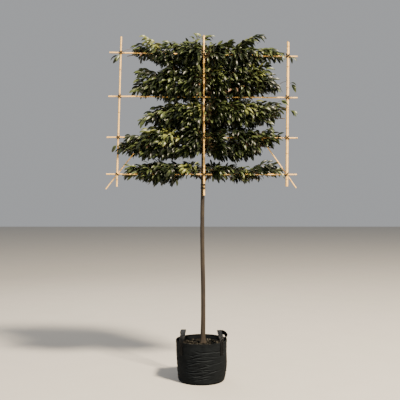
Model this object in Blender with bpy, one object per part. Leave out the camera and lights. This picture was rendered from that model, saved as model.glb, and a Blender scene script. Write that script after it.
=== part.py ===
"""Espalier laurel in a fabric pot, on its bamboo training frame.

One clear stem stands in a handled fabric bag of compost and carries five tiers of boughs, trained
flat to the left and to the right.  The crown is tied to a light frame of bamboo canes.
Metres, +Z up.  X runs along the flat crown and the front of the plant looks towards -Y.
The origin is the middle of the bag's flat underside.
"""
import math
import random

import bmesh
import bpy
from mathutils import Vector
from mathutils.bvhtree import BVHTree
from mathutils.geometry import convex_hull_2d

# Clear gap between two pieces that touch on the real plant
GAP = 0.0003
UP = Vector((0.0, 0.0, 1.0))

# Fabric bag: a round bag of felted cloth, filled so that it draws in only near its flat bottom
BAG_HEIGHT = 0.322
BAG_RIM_RADIUS = 0.202
BAG_SIDE_RADIUS = 0.189
BAG_SIDE_START = 0.030
BAG_FULLNESS = 4.0
BAG_EDGE_RINGS = (0.004, 0.012)
BAG_SIDE_RINGS = (0.030, 0.065, 0.120, 0.200)
BAG_FLAT_RADIUS = 0.174
BAG_WALL = 0.004
BAG_SEGMENTS = 32

# Compost: its top lies a little below the rim and is level where the stem comes out
SOIL_TOP = 0.290
SOIL_EDGE_DROP = 0.012
SOIL_LEVEL_RADIUS = 0.060
SOIL_MIDDLE_SHARE = 0.4

# Webbing handles, one on each side, sewn to the outside of the bag.  The facets are those of the
# bag's wall, counted from its side to each handle's front leg and back leg.
STRAP_WIDTH = 0.038
STRAP_THICKNESS = 0.003
STRAP_SEWN_LENGTH = 0.100
STRAP_RISE = 0.070
STRAP_TOP_FROM_AXIS = 0.142
STRAP_ABOVE_RIM = 0.006
STRAP_STAND = 0.020
STRAP_FACETS_LEFT = (3.5, 3.5)
STRAP_FACETS_RIGHT = (3.5, 1.5)
STRAP_SEAT = 1.1
STRAP_TWIST = 1.2
STRAP_ARCH_STEPS = 5

# Stem
STEM_X = 0.010
STEM_FOOT_RADIUS = 0.0185
STEM_CROWN_RADIUS = 0.0160
STEM_TIP_RADIUS = 0.0035
STEM_FLARE = 0.010
STEM_FLARE_HEIGHT = 0.035
STEM_LOBES = 3.0
STEM_LOBE_DEPTH = 0.16
STEM_LOBE_TURN = 0.6
STEM_TAPER_POWER = 1.15
STEM_WAVE = 0.004
STEM_BOW = 0.003
CROWN_FOOT = 1.500
STEM_TOP = 2.680
STEM_SIDES = 10
STEM_FOOT_RINGS = (0.0, 0.012, 0.03, 0.07, 0.14)
STEM_CLEAR_RINGS = (0.75, 1.10, 1.35)
STEM_CROWN_RINGS = 9

# Boughs: short limbs that leave the stem upwards and bend out along the tier
BOUGH_LENGTH = 0.105
BOUGH_RISE = 0.060
BOUGH_MOST_RADIUS = 0.0098
BOUGH_SHARE_OF_STEM = 0.80
BOUGH_TIP_SHARE = 0.64
BOUGH_BACK = 0.011
BOUGH_STAGGER = 0.016
BOUGH_SIDES = 8
BOUGH_STEPS = 5
BOUGH_START_SHARE = 0.5
BOUGH_TURN_BACK = 2.2

# Leaves and twigs of the solids: fewer and larger than the plant's own
LEAF_LENGTH = 0.108
LEAF_WIDTH = 0.048
LEAF_THICKNESS = 0.0036
LEAF_ARCH = 0.010
LEAF_SPACING = 0.0265
LEAF_SUNK = 0.0009
LEAF_TRIES = 12
TWIG_RADIUS = 0.0032
TWIG_TIP_SHARE = 0.80
STEM_END_RADIUS = 0.0048
TWIG_SPACING = 0.042
TWIG_LENGTH = 0.130
FACE_SHARE = 0.80
INNER_SHARE = 0.21
INNER_LEAN = -0.95
OUTER_LEAN = 0.62
CROWN_DEPTH = 0.150
TEST_CLEARANCE = 0.0012
LEAF_WIDEST_AT = 0.45
LEAF_DROOP = 0.28
SIDE_LEAF_ALONG = 0.62
SIDE_LEAF_OUT = 0.75
TWIG_TRIES = 5
TWIG_TURN = 2.4
TWIG_RETRY_TURN = 0.9
ARM_STEPS = 5
ARM_WAVE = 0.018
ARM_FALL = 0.020
ARM_JITTER = (0.006, 0.005)
ARM_START = 0.012

# Tiers from the top down.  Heights are those of the arms and of the floors of the tiers' spaces,
# and reaches are the furthest leaf tips left and right of the origin.
TIERS = (
    {"name": "top", "arm": 2.600, "floor": (2.515, 2.515), "ceiling": 2.745, "reach": (0.690, 0.735)},
    {"name": "upper", "arm": 2.352, "floor": (2.190, 2.235), "ceiling": 2.512, "reach": (0.590, 0.732)},
    {"name": "middle", "arm": 2.112, "floor": (2.010, 2.010), "ceiling": None, "reach": (0.512, 0.762)},
    {"name": "lower", "arm": 1.875, "floor": (1.732, 1.732), "ceiling": 2.007, "reach": (0.714, 0.672)},
    {"name": "bottom", "arm": 1.652, "floor": (1.528, 1.528), "ceiling": 1.729, "reach": (0.622, 0.680)},
)
ROOM_BETWEEN_TIERS = 0.003
ROOM_FROM_STEM_AXIS = 0.002
LEADER_HALF_WIDTH = 0.060
LEADER_HALF_DEPTH = 0.090
LEADER_FLOOR = 2.640
LEADER_TIP = 2.794
LEADER_LEAF_SIZE = 0.62
LEADER_STEM = ((0.002, 0.0, 0.025), (0.004, -0.002, 0.058))
LEADER_TWIG_LENGTH = 0.035
LEADER_SEED = 11

# Bamboo frame.  Four level canes lie against the stem, the uprights lie in front of them and the
# two slanted canes behind them.  These are short and end among the leaves of the lower tier.
STEM_FRONT = -0.0160
LEVEL_CANE_RADIUS = 0.0055
SLANT_CANE_RADIUS = 0.0048
UPRIGHTS = (
    ("cane_upright_left", -0.673, 1.540, -0.637, 2.729, 0.0070),
    ("cane_upright_middle", 0.020, 1.470, 0.018, 2.740, 0.0080),
    ("cane_upright_right", 0.676, 1.541, 0.687, 2.687, 0.0105),
)
LEVEL_CANES = (
    ("cane_level_1", -0.731, 2.607, 0.764, 2.575),
    ("cane_level_2", -0.741, 2.258, 0.764, 2.247),
    ("cane_level_3", -0.754, 1.932, 0.764, 1.927),
    ("cane_level_4", -0.758, 1.639, 0.758, 1.636),
)
SLANT_CANES = (
    ("cane_slant_left", -0.763, 1.520, -0.455, 1.914),
    ("cane_slant_right", 0.754, 1.529, 0.467, 1.939),
)
SLANTED_CUT = 0.35
CANE_TIP_SHARE = 0.94
CANE_SIDES = 8

# Ties: twine wound round each crossing and round stem and cane at the crown's foot
TIE_RADIUS = 0.0017
TIE_GAP = 0.0004
TIE_SAMPLES = 8
TIE_SIDES = 4
STEM_TIE_HEIGHTS = (1.528, 1.554)

SIDES = ((-1, "left"), (1, "right"))
LEVEL_Y = STEM_FRONT - GAP - LEVEL_CANE_RADIUS
SLANT_Y = LEVEL_Y + LEVEL_CANE_RADIUS + GAP + SLANT_CANE_RADIUS


def upright_y(radius):
    """Depth of an upright cane that lies against the front of the level canes."""
    return LEVEL_Y - LEVEL_CANE_RADIUS - GAP - radius


def clear_scene():
    """Remove whatever the open file holds."""
    for old in list(bpy.data.objects):
        bpy.data.objects.remove(old, do_unlink=True)


def surface(name, colour, roughness):
    """A plain Principled material."""
    made = bpy.data.materials.new(name)
    made.use_nodes = True
    shader = made.node_tree.nodes["Principled BSDF"]
    shader.inputs["Base Color"].default_value = (*colour, 1.0)
    shader.inputs["Roughness"].default_value = roughness
    shader.inputs["Metallic"].default_value = 0.0
    return made


def place(name, bm, material):
    """Turn a bmesh into a named object with its faces pointing outwards."""
    bmesh.ops.recalc_face_normals(bm, faces=bm.faces)
    mesh = bpy.data.meshes.new(name)
    bm.to_mesh(mesh)
    bm.free()
    mesh.materials.append(material)
    made = bpy.data.objects.new(name, mesh)
    bpy.context.scene.collection.objects.link(made)
    return made


def ring(bm, centre, across, over, radius, sides, start=0.0):
    """A closed ring of vertices round a centre, in the plane of two unit vectors."""
    made = []
    for i in range(sides):
        angle = start + 2.0 * math.pi * i / sides
        made.append(bm.verts.new(centre + radius * (math.cos(angle) * across + math.sin(angle) * over)))
    return made


def skin(bm, rings, closed=False):
    """Join neighbouring rings with faces, and cap both ends unless the rings run in a circle."""
    pairs = list(zip(rings, rings[1:]))
    if closed:
        pairs.append((rings[-1], rings[0]))
    for low, high in pairs:
        count = len(low)
        for i in range(count):
            bm.faces.new((low[i], low[(i + 1) % count], high[(i + 1) % count], high[i]))
    if not closed:
        bm.faces.new(tuple(reversed(rings[0])))
        bm.faces.new(tuple(rings[-1]))


def frame_across(direction):
    """Two unit vectors square to a direction."""
    helper = UP if abs(direction.z) < 0.9 else Vector((1.0, 0.0, 0.0))
    across = direction.cross(helper).normalized()
    return across, direction.cross(across).normalized()


def turned(name, profile, segments, material):
    """A solid turned about Z from a profile that starts and ends on the axis."""
    bm = bmesh.new()
    points = [bm.verts.new((radius, 0.0, height)) for radius, height in profile]
    edges = [bm.edges.new(pair) for pair in zip(points, points[1:])]
    bmesh.ops.spin(bm, geom=points + edges, cent=(0, 0, 0), axis=(0, 0, 1), angle=2.0 * math.pi,
                   steps=segments, use_merge=True)
    bmesh.ops.remove_doubles(bm, verts=bm.verts, dist=1e-6)
    return place(name, bm, material)


def bag_radius(height):
    """Outer radius of the bag's wall at a height."""
    if height < BAG_SIDE_START:
        share = height / BAG_SIDE_START
        bulge = math.sqrt(1.0 - (1.0 - share) ** 2)
        return BAG_FLAT_RADIUS + (BAG_SIDE_RADIUS - BAG_FLAT_RADIUS) * bulge
    share = (height - BAG_SIDE_START) / (BAG_HEIGHT - BAG_SIDE_START)
    return BAG_RIM_RADIUS - (BAG_RIM_RADIUS - BAG_SIDE_RADIUS) * (1.0 - share) ** BAG_FULLNESS


def make_bag(material):
    """The bag: a flat bottom, a rounded lower edge and a full wall up to the rim."""
    wall = (*BAG_SIDE_RINGS, SOIL_TOP - SOIL_EDGE_DROP, BAG_HEIGHT)
    edge = BAG_EDGE_RINGS[-1]
    outer = [(0.0, 0.0)] + [(bag_radius(z), z) for z in (0.0, *BAG_EDGE_RINGS, *wall)]
    inner = [(bag_radius(z) - BAG_WALL, z) for z in (*reversed(wall), edge)]
    inner += [(BAG_FLAT_RADIUS - BAG_WALL, BAG_WALL)]
    return turned("fabric_bag", outer + inner + [(0.0, BAG_WALL)], BAG_SEGMENTS, material)


def make_soil(material):
    """The compost that fills the bag, a gap clear of its wall and bottom."""
    inset = BAG_WALL + GAP
    edge = SOIL_TOP - SOIL_EDGE_DROP
    sides = (BAG_EDGE_RINGS[-1] + GAP, *BAG_SIDE_RINGS, edge)
    profile = [(0.0, inset), (BAG_FLAT_RADIUS - inset, inset)]
    profile += [(bag_radius(z) - inset, z) for z in sides]
    profile += [(0.5 * (BAG_RIM_RADIUS + SOIL_LEVEL_RADIUS), SOIL_TOP - SOIL_MIDDLE_SHARE * SOIL_EDGE_DROP)]
    profile += [(SOIL_LEVEL_RADIUS, SOIL_TOP), (0.0, SOIL_TOP)]
    return turned("compost", profile, BAG_SEGMENTS, material)


def leg_stations(side, way, facets):
    """Centres and width directions of one leg, from its sewn end up to the middle of the arch.

    The side is -1 for the left handle, and the way is -1 for a front leg and 1 for a back leg.
    """
    facet = math.pi / BAG_SEGMENTS
    spread = facets * 2.0 * facet
    radial = Vector((side * math.cos(spread), way * math.sin(spread), 0.0))
    along_wall = Vector((side * math.sin(spread), -way * math.cos(spread), 0.0))
    arch_width = Vector((side, 0.0, 0.0))
    out = STRAP_SEAT * (GAP + 0.5 * STRAP_THICKNESS)
    leg = []
    for z in (BAG_HEIGHT - STRAP_SEWN_LENGTH, BAG_HEIGHT, BAG_HEIGHT + STRAP_ABOVE_RIM):
        wall = bag_radius(min(z, BAG_HEIGHT)) * math.cos(facet)
        leg.append((radial * (wall + out) + UP * z, along_wall))
    foot = leg[-1][0] + UP * STRAP_STAND
    leg.append((foot, along_wall + STRAP_TWIST * arch_width))
    top = Vector((side * STRAP_TOP_FROM_AXIS, 0.0, BAG_HEIGHT + STRAP_RISE))
    for i in range(1, STRAP_ARCH_STEPS + 1):
        turn = 0.5 * math.pi * i / STRAP_ARCH_STEPS
        centre = foot.lerp(top, math.sin(turn))
        centre.y = foot.y * math.cos(turn)
        leg.append((centre, arch_width))
    return leg


def handle_stations(side):
    """Stations of a whole handle: up its front leg, over the arch and down its back leg."""
    front, back = STRAP_FACETS_LEFT if side < 0.0 else STRAP_FACETS_RIGHT
    back_leg = leg_stations(side, 1.0, back)
    return leg_stations(side, -1.0, front) + back_leg[-2::-1]


def make_handle(name, side, material):
    """One webbing handle: two sewn legs that twist above the rim into an arch."""
    stations = handle_stations(side)
    bm = bmesh.new()
    rings = []
    for i, (centre, width) in enumerate(stations):
        before = stations[max(i - 1, 0)][0]
        after = stations[min(i + 1, len(stations) - 1)][0]
        along = (after - before).normalized()
        wide = STRAP_WIDTH * (width - along * width.dot(along)).normalized()
        thick = STRAP_THICKNESS * along.cross(wide).normalized()
        corners = ((-0.5, -0.5), (0.5, -0.5), (0.5, 0.5), (-0.5, 0.5))
        rings.append([bm.verts.new(centre + u * wide + v * thick) for u, v in corners])
    skin(bm, rings)
    bmesh.ops.triangulate(bm, faces=bm.faces)
    return place(name, bm, material)


def stem_radius(z):
    """The stem's true taper, with the root flare at its foot."""
    if z < CROWN_FOOT:
        share = (z - SOIL_TOP) / (CROWN_FOOT - SOIL_TOP)
        taper = STEM_FOOT_RADIUS + (STEM_CROWN_RADIUS - STEM_FOOT_RADIUS) * share
    else:
        share = (z - CROWN_FOOT) / (STEM_TOP - CROWN_FOOT)
        taper = STEM_CROWN_RADIUS + (STEM_TIP_RADIUS - STEM_CROWN_RADIUS) * share ** STEM_TAPER_POWER
    return taper + STEM_FLARE * math.exp(-(z - SOIL_TOP) / STEM_FLARE_HEIGHT)


def stem_centre(z):
    """The stem's axis: a slight wave below, and its front along the canes in the crown."""
    share = max(0.0, min(1.0, (z - SOIL_TOP) / (CROWN_FOOT - SOIL_TOP)))
    x = STEM_X + STEM_WAVE * math.sin(2.0 * math.pi * share)
    y = STEM_BOW * math.sin(math.pi * share)
    if z > CROWN_FOOT:
        share = (z - CROWN_FOOT) / (STEM_TOP - CROWN_FOOT)
        y = STEM_FRONT + stem_radius(z)
        x = STEM_X + STEM_BOW * math.sin(2.0 * math.pi * share)
    return Vector((x, y, z))


def stem_stations(extra):
    """Rings of the stem as centres and radii, with an allowance on the radius."""
    heights = [SOIL_TOP + GAP + rise for rise in STEM_FOOT_RINGS] + list(STEM_CLEAR_RINGS)
    for i in range(STEM_CROWN_RINGS + 1):
        heights.append(CROWN_FOOT + (STEM_TOP - CROWN_FOOT) * i / STEM_CROWN_RINGS)
    return [(stem_centre(z), stem_radius(z) + extra) for z in heights]


def make_stem(name, extra, material):
    """The stem as rings that all lie level, so that its foot is a flat cut."""
    bm = bmesh.new()
    rings = []
    for centre, radius in stem_stations(extra):
        flare = math.exp(-(centre.z - SOIL_TOP) / STEM_FLARE_HEIGHT)
        vertices = ring(bm, centre, Vector((1, 0, 0)), Vector((0, 1, 0)), radius, STEM_SIDES)
        for i, vertex in enumerate(vertices):
            turn = 2.0 * math.pi * i / STEM_SIDES
            lobe = 1.0 + STEM_LOBE_DEPTH * flare * math.cos(STEM_LOBES * turn + STEM_LOBE_TURN)
            vertex.co.xy = centre.xy + (vertex.co.xy - centre.xy) * lobe
        rings.append(vertices)
    skin(bm, rings)
    return place(name, bm, material)


def bough_start(tier, side):
    """Height at which a bough leaves the stem: the two of a tier are a little apart."""
    return tier["arm"] - BOUGH_RISE - side * 0.5 * BOUGH_STAGGER


def bough_radius(tier, side, share):
    """Radius of a bough at a share of its length: a thinner stem bears thinner boughs."""
    base = min(BOUGH_MOST_RADIUS, BOUGH_SHARE_OF_STEM * stem_radius(bough_start(tier, side)))
    return base * (1.0 + (BOUGH_TIP_SHARE - 1.0) * share)


def bough_path(tier, side):
    """Points of a bough from inside the stem to the tip where its foliage starts."""
    start_z = bough_start(tier, side)
    start = stem_centre(start_z)
    start.x += side * BOUGH_START_SHARE * stem_radius(start_z)
    points = []
    for i in range(BOUGH_STEPS + 1):
        share = i / BOUGH_STEPS
        x = start.x + side * BOUGH_LENGTH * share
        y = start.y + (BOUGH_BACK - start.y) * min(1.0, BOUGH_TURN_BACK * share)
        z = start_z + BOUGH_RISE * math.sin(0.5 * math.pi * share)
        points.append(Vector((x, y, z)))
    return points


def make_bough(name, tier, side, cutter, material):
    """One tapering limb, cut a gap clear of the stem that it grows from."""
    points = bough_path(tier, side)
    bm = bmesh.new()
    rings = []
    for i, point in enumerate(points):
        before = points[max(i - 1, 0)]
        after = points[min(i + 1, len(points) - 1)]
        along = (after - before).normalized() if i < len(points) - 1 else Vector((side, 0.0, 0.0))
        across, over = frame_across(along)
        radius = bough_radius(tier, side, i / (len(points) - 1))
        rings.append(ring(bm, point, across, over, radius, BOUGH_SIDES))
    skin(bm, rings)
    made = place(name, bm, material)
    cut = made.modifiers.new("clear_of_stem", "BOOLEAN")
    cut.operation = "DIFFERENCE"
    cut.solver = "EXACT"
    cut.object = cutter
    return made


def make_cane(name, start, end, radius, material, slanted=False):
    """A bamboo cane: a slim round bar, a little thinner at its far end."""
    bm = bmesh.new()
    along = (end - start).normalized()
    across, over = frame_across(along)
    low = ring(bm, start, across, over, radius, CANE_SIDES)
    high = ring(bm, end, across, over, CANE_TIP_SHARE * radius, CANE_SIDES)
    if slanted:
        for vertex in high:
            vertex.co.z += 2.0 * SLANTED_CUT * (end.x - vertex.co.x)
    skin(bm, [low, high])
    return place(name, bm, material)


def section_points(member, origin, u, v):
    """Where a round member is cut by the plane of u and v: points of the ellipse, kept clear of it."""
    point, direction, radius = member
    normal = u.cross(v).normalized()
    along = direction.normalized()
    slope = abs(along.dot(normal))
    hit = point + along * ((origin - point).dot(normal) / along.dot(normal))
    wide = along - normal * along.dot(normal)
    wide = wide.normalized() if wide.length > 1e-6 else u
    narrow = normal.cross(wide)
    half_turn = TIE_RADIUS * math.cos(math.pi / TIE_SIDES)
    clear = TIE_GAP + half_turn
    skew = half_turn * math.sqrt(1.0 - slope * slope) / slope
    reach = 1.0 / math.cos(math.pi / TIE_SAMPLES)
    points = []
    for i in range(TIE_SAMPLES):
        angle = 2.0 * math.pi * (i + 0.5) / TIE_SAMPLES
        offset = wide * math.cos(angle) * (radius / slope + clear + skew) * reach
        offset += narrow * math.sin(angle) * (radius + clear) * reach
        spot = hit + offset - origin
        points.append((spot.dot(u), spot.dot(v)))
    return points


def make_tie(name, origin, u, v, members, material):
    """A closed turn of twine drawn tight round all the members that cross at one place."""
    points = []
    for member in members:
        points += section_points(member, origin, u, v)
    loop = [points[i] for i in convex_hull_2d(points)]
    path = [origin + a * u + b * v for a, b in loop]
    normal = u.cross(v).normalized()
    bm = bmesh.new()
    rings = []
    for i, centre in enumerate(path):
        ahead = (path[(i + 1) % len(path)] - centre).normalized()
        behind = (centre - path[i - 1]).normalized()
        outward = (ahead + behind).normalized().cross(normal).normalized()
        rings.append(ring(bm, centre, outward, normal, TIE_RADIUS, TIE_SIDES, start=math.pi / TIE_SIDES))
    skin(bm, rings, closed=True)
    return place(name, bm, material)


def cane_ends(row, radius, y):
    """Start, direction and radius of a cane from its row of named places."""
    start = Vector((row[1], y, row[2]))
    end = Vector((row[3], y, row[4]))
    return start, end - start, radius


def crossing(first, second):
    """The point in the XZ plane where two canes cross, midway between their depths."""
    p, d, _ = first
    q, e, _ = second
    scale = ((q.x - p.x) * e.z - (q.z - p.z) * e.x) / (d.x * e.z - d.z * e.x)
    hit = p + d * scale
    return Vector((hit.x, 0.5 * (p.y + q.y), hit.z))


def make_frame(cane_material, tie_material):
    """All canes and the twine at their crossings."""
    made = []
    uprights = [cane_ends(row, row[5], upright_y(row[5])) for row in UPRIGHTS]
    levels = [cane_ends(row, LEVEL_CANE_RADIUS, LEVEL_Y) for row in LEVEL_CANES]
    slants = [cane_ends(row, SLANT_CANE_RADIUS, SLANT_Y) for row in SLANT_CANES]
    for rows, members in ((UPRIGHTS, uprights), (LEVEL_CANES, levels), (SLANT_CANES, slants)):
        for row, (start, run, radius) in zip(rows, members):
            slanted = row[0] == "cane_upright_right"
            made.append(make_cane(row[0], start, start + run, radius, cane_material, slanted))
    for i, upright in enumerate(uprights):
        place_name = UPRIGHTS[i][0].rsplit("_", 1)[1]
        lean = -1.0 if place_name != "right" else 1.0
        u = Vector((lean, 0.0, 1.0)).normalized()
        for j, level in enumerate(levels):
            members = [upright, level]
            if place_name == "middle":
                members.append((stem_centre(level[0].z), UP, stem_radius(level[0].z)))
            elif j == 3:
                members.append(slants[0] if place_name == "left" else slants[1])
            origin = crossing(upright, level)
            made.append(make_tie(f"tie_{place_name}_{j + 1}", origin, u, Vector((0, 1, 0)), members,
                                 tie_material))
    middle = uprights[1]
    for i, z in enumerate(STEM_TIE_HEIGHTS):
        stem = (stem_centre(z), UP, stem_radius(z))
        origin = Vector((STEM_X, STEM_FRONT, z))
        made.append(make_tie(f"tie_stem_{i + 1}", origin, Vector((1, 0, 0)), Vector((0, 1, 0)),
                             [stem, middle], tie_material))
    return made


def leaf_mesh(root, along, flat, length, width, grow=0.0):
    """A pointed, arched blade of eight faces.  grow thickens it all round, for a clearance test."""
    side = along.cross(flat).normalized()
    over = side.cross(along).normalized()
    half = 0.5 * width + grow
    thick = 0.5 * LEAF_THICKNESS + grow
    middle = root + LEAF_WIDEST_AT * length * along + LEAF_ARCH * over
    fold = middle - 0.2 * LEAF_ARCH * over
    points = [root - grow * along, root + (length + grow) * along - 0.5 * LEAF_ARCH * over]
    points += [fold - half * side, fold + half * side, middle + thick * over, middle - thick * over]
    faces = [(0, 2, 4), (0, 4, 3), (1, 4, 2), (1, 3, 4), (0, 5, 2), (0, 3, 5), (1, 2, 5), (1, 5, 3)]
    return points, faces


def twig_mesh(start, end, radius, tip_radius, grow=0.0):
    """A three-sided tapering twig."""
    along = (end - start).normalized()
    across, over = frame_across(along)
    points = []
    for centre, size in ((start, radius + grow), (end, tip_radius + grow)):
        for i in range(3):
            angle = 2.0 * math.pi * i / 3.0
            points.append(centre + size * (math.cos(angle) * across + math.sin(angle) * over))
    faces = [(0, 1, 2), (5, 4, 3), (0, 3, 4, 1), (1, 4, 5, 2), (2, 5, 3, 0)]
    return points, faces


class Obstacles:
    """Everything already standing, for the test that a new twig or leaf touches none of it."""

    def __init__(self):
        self.points = []
        self.faces = []
        self.tree = None

    def add(self, points, faces):
        start = len(self.points)
        self.points += points
        self.faces += [tuple(start + i for i in face) for face in faces]
        self.tree = None

    def add_object(self, thing):
        points = [thing.matrix_world @ vertex.co for vertex in thing.data.vertices]
        self.add(points, [tuple(face.vertices) for face in thing.data.polygons])

    def add_mass(self, mass):
        for points, faces in mass.pieces:
            self.add(points, faces)

    def touch(self, points, faces):
        if self.tree is None:
            self.tree = BVHTree.FromPolygons(self.points, self.faces)
        return bool(self.tree.overlap(BVHTree.FromPolygons(points, faces)))


class Foliage:
    """One mass: a stem from its bough's tip, twigs off the stem and leaves off the twigs."""

    def __init__(self, name, space, obstacles, seed, leaf_size=1.0):
        self.name = name
        self.leaf_size = leaf_size
        self.space = space
        self.obstacles = obstacles
        self.own_leaves = Obstacles()
        self.rng = random.Random(seed)
        self.pieces = []
        self.leaves = 0

    def fits(self, points, faces, wide_points):
        low, high = self.space
        for point in points:
            for axis in range(3):
                if not low[axis] < point[axis] < high[axis]:
                    return False
        if self.own_leaves.points and self.own_leaves.touch(points, faces):
            return False
        return not self.obstacles.touch(wide_points, faces)

    def twig(self, start, end, radius, tip_radius, must=False):
        points, faces = twig_mesh(start, end, radius, tip_radius)
        wide, _ = twig_mesh(start, end, radius, tip_radius, TEST_CLEARANCE)
        if not must and not self.fits(points, faces, wide):
            return False
        self.pieces.append((points, faces))
        return True

    def leaf(self, root, along, flat, size):
        length = LEAF_LENGTH * size * self.leaf_size
        width = LEAF_WIDTH * size * self.leaf_size
        points, faces = leaf_mesh(root, along, flat, length, width)
        wide, _ = leaf_mesh(root, along, flat, length, width, TEST_CLEARANCE)
        if not self.fits(points, faces, wide):
            return False
        self.pieces.append((points, faces))
        self.own_leaves.add(points, faces)
        self.leaves += 1
        return True

    def leaves_along(self, start, end, tipped=True):
        """Alternate leaves on a twig, drooping a little, and one that carries its tip on."""
        run = end - start
        along = run.normalized()
        across, over = frame_across(along)
        count = max(1, int(run.length / LEAF_SPACING))
        turn = self.rng.uniform(0.0, math.pi)
        for i in range(count):
            root = start + run * ((i + 0.55) / count)
            for attempt in range(LEAF_TRIES):
                angle = turn + math.pi * i + self.rng.uniform(-0.5, 0.5) + 0.7 * attempt
                size = self.rng.uniform(0.88, 1.1) * (1.0 - 0.03 * attempt)
                out = math.cos(angle) * across + math.sin(angle) * over
                heading = (SIDE_LEAF_ALONG * along + SIDE_LEAF_OUT * out - LEAF_DROOP * UP).normalized()
                face = Vector((0.0, -1.0 if root.y < 0.02 else 1.0, 0.0))
                flat = (0.55 * UP + FACE_SHARE * face + 0.3 * out + self.jitter(0.35)).normalized()
                if self.leaf(root - heading * LEAF_SUNK, heading, flat, size):
                    break
        for attempt in range(LEAF_TRIES if tipped else 0):
            heading = (along - LEAF_DROOP * UP + self.jitter(0.12 + 0.1 * attempt)).normalized()
            flat = (0.6 * UP + Vector((0, -0.6, 0)) + self.jitter(0.5)).normalized()
            if self.leaf(end - heading * 3.0 * LEAF_SUNK, heading, flat, 1.0):
                break

    def jitter(self, amount):
        return Vector([self.rng.uniform(-amount, amount) for _ in range(3)])

    def grow(self, path, radius, tip_radius, twig_length):
        """Carry the stem along its path, and turn a new twig off it at each step."""
        for i in range(len(path) - 1):
            share = i / (len(path) - 1)
            near = radius + (tip_radius - radius) * share
            far = radius + (tip_radius - radius) * (i + 1) / (len(path) - 1)
            start = path[i] if i == 0 else path[i] - (path[i + 1] - path[i]).normalized() * 0.002
            self.twig(start, path[i + 1], near, far, must=True)
        total = sum((b - a).length for a, b in zip(path, path[1:]))
        steps = max(2, int(total / TWIG_SPACING))
        turn = self.rng.uniform(0.0, 2.0 * math.pi)
        for i in range(steps):
            share = (i + 0.5) / steps
            root, along = self.point_on(path, share)
            across, over = frame_across(along)
            for attempt in range(TWIG_TRIES):
                angle = turn + TWIG_TURN * i + TWIG_RETRY_TURN * attempt
                out = math.cos(angle) * across + math.sin(angle) * over
                lean = INNER_LEAN if share < INNER_SHARE else OUTER_LEAN
                heading = (out + lean * along + self.jitter(0.15)).normalized()
                length = twig_length * self.rng.uniform(0.65, 1.1) * (1.0 - 0.45 * share * share)
                length *= 1.0 - 0.12 * attempt
                end = root + heading * length
                if self.twig(root, end, TWIG_RADIUS, TWIG_TIP_SHARE * TWIG_RADIUS):
                    self.leaves_along(root + heading * 0.2 * length, end)
                    break
        for near, far in zip(path[1:], path[2:]):
            self.leaves_along(near, far, tipped=far is path[-1])

    @staticmethod
    def point_on(path, share):
        """The place and the direction at a share of the path's points."""
        spot = share * (len(path) - 1)
        i = min(int(spot), len(path) - 2)
        return path[i].lerp(path[i + 1], spot - i), (path[i + 1] - path[i]).normalized()

    def fuse(self, material):
        """Join every twig and leaf by one union, and keep the one body that it makes."""
        group = bpy.data.collections.new(self.name + "_parts")
        for i, (points, faces) in enumerate(self.pieces[1:]):
            group.objects.link(self.piece_object(f"{self.name}_part_{i}", points, faces))
        made = self.piece_object(self.name, *self.pieces[0])
        bpy.context.scene.collection.objects.link(made)
        bpy.context.scene.collection.children.link(group)
        union = made.modifiers.new("join", "BOOLEAN")
        union.operation = "UNION"
        union.operand_type = "COLLECTION"
        union.collection = group
        for solver in ("EXACT", "MANIFOLD"):
            union.solver = solver
            graph = bpy.context.evaluated_depsgraph_get()
            joined = bpy.data.meshes.new_from_object(made.evaluated_get(graph))
            if keep_largest_body(joined):
                break
        made.modifiers.clear()
        made.data = joined
        for part in list(group.objects):
            bpy.data.objects.remove(part, do_unlink=True)
        bpy.data.collections.remove(group)
        joined.materials.clear()
        joined.materials.append(material)
        return made

    @staticmethod
    def piece_object(name, points, faces):
        bm = bmesh.new()
        vertices = [bm.verts.new(point) for point in points]
        for face in faces:
            bm.faces.new([vertices[i] for i in face])
        bmesh.ops.recalc_face_normals(bm, faces=bm.faces)
        mesh = bpy.data.meshes.new(name)
        bm.to_mesh(mesh)
        bm.free()
        return bpy.data.objects.new(name, mesh)


def keep_largest_body(mesh):
    """Drop loose scraps and fill sealed hollows: only the shell with the most room stays.

    True if what stays is closed.
    """
    bm = bmesh.new()
    bm.from_mesh(mesh)
    bmesh.ops.triangulate(bm, faces=bm.faces)
    unseen = set(bm.faces)
    shells = []
    while unseen:
        stack = [unseen.pop()]
        shell = []
        while stack:
            face = stack.pop()
            shell.append(face)
            for edge in face.edges:
                for other in edge.link_faces:
                    if other in unseen:
                        unseen.remove(other)
                        stack.append(other)
        room = 0.0
        for face in shell:
            a, b, c = [vertex.co for vertex in face.verts[:3]]
            room += a.dot(b.cross(c)) / 6.0
        shells.append((room, shell))
    shells.sort(key=lambda item: item[0], reverse=True)
    dropped = [face for _, shell in shells[1:] for face in shell]
    bmesh.ops.delete(bm, geom=dropped, context="FACES")
    closed = all(len(edge.link_faces) == 2 for edge in bm.edges)
    bm.to_mesh(mesh)
    bm.free()
    return closed


def stem_path(tier, side, rng):
    """The foliage stem of one side: from a gap beyond the bough's tip out to near the reach."""
    reach = tier["reach"][0 if side < 0 else 1]
    tip = bough_path(tier, side)[-1]
    start = tip + Vector((side * GAP, 0.0, 0.0))
    end_x = side * (reach - 0.86 * LEAF_LENGTH)
    path = [start, start + Vector((side * ARM_START, 0.0, 0.0))]
    for i in range(1, ARM_STEPS + 1):
        share = i / ARM_STEPS
        x = start.x + (end_x - start.x) * share
        y = start.y + ARM_WAVE * math.sin(2.6 * share * math.pi)
        z = start.z + ARM_WAVE * math.sin(math.pi * share) - ARM_FALL * share
        y += rng.uniform(-ARM_JITTER[0], ARM_JITTER[0])
        z += rng.uniform(-ARM_JITTER[1], ARM_JITTER[1])
        path.append(Vector((x, y, z)))
    return path


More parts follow.
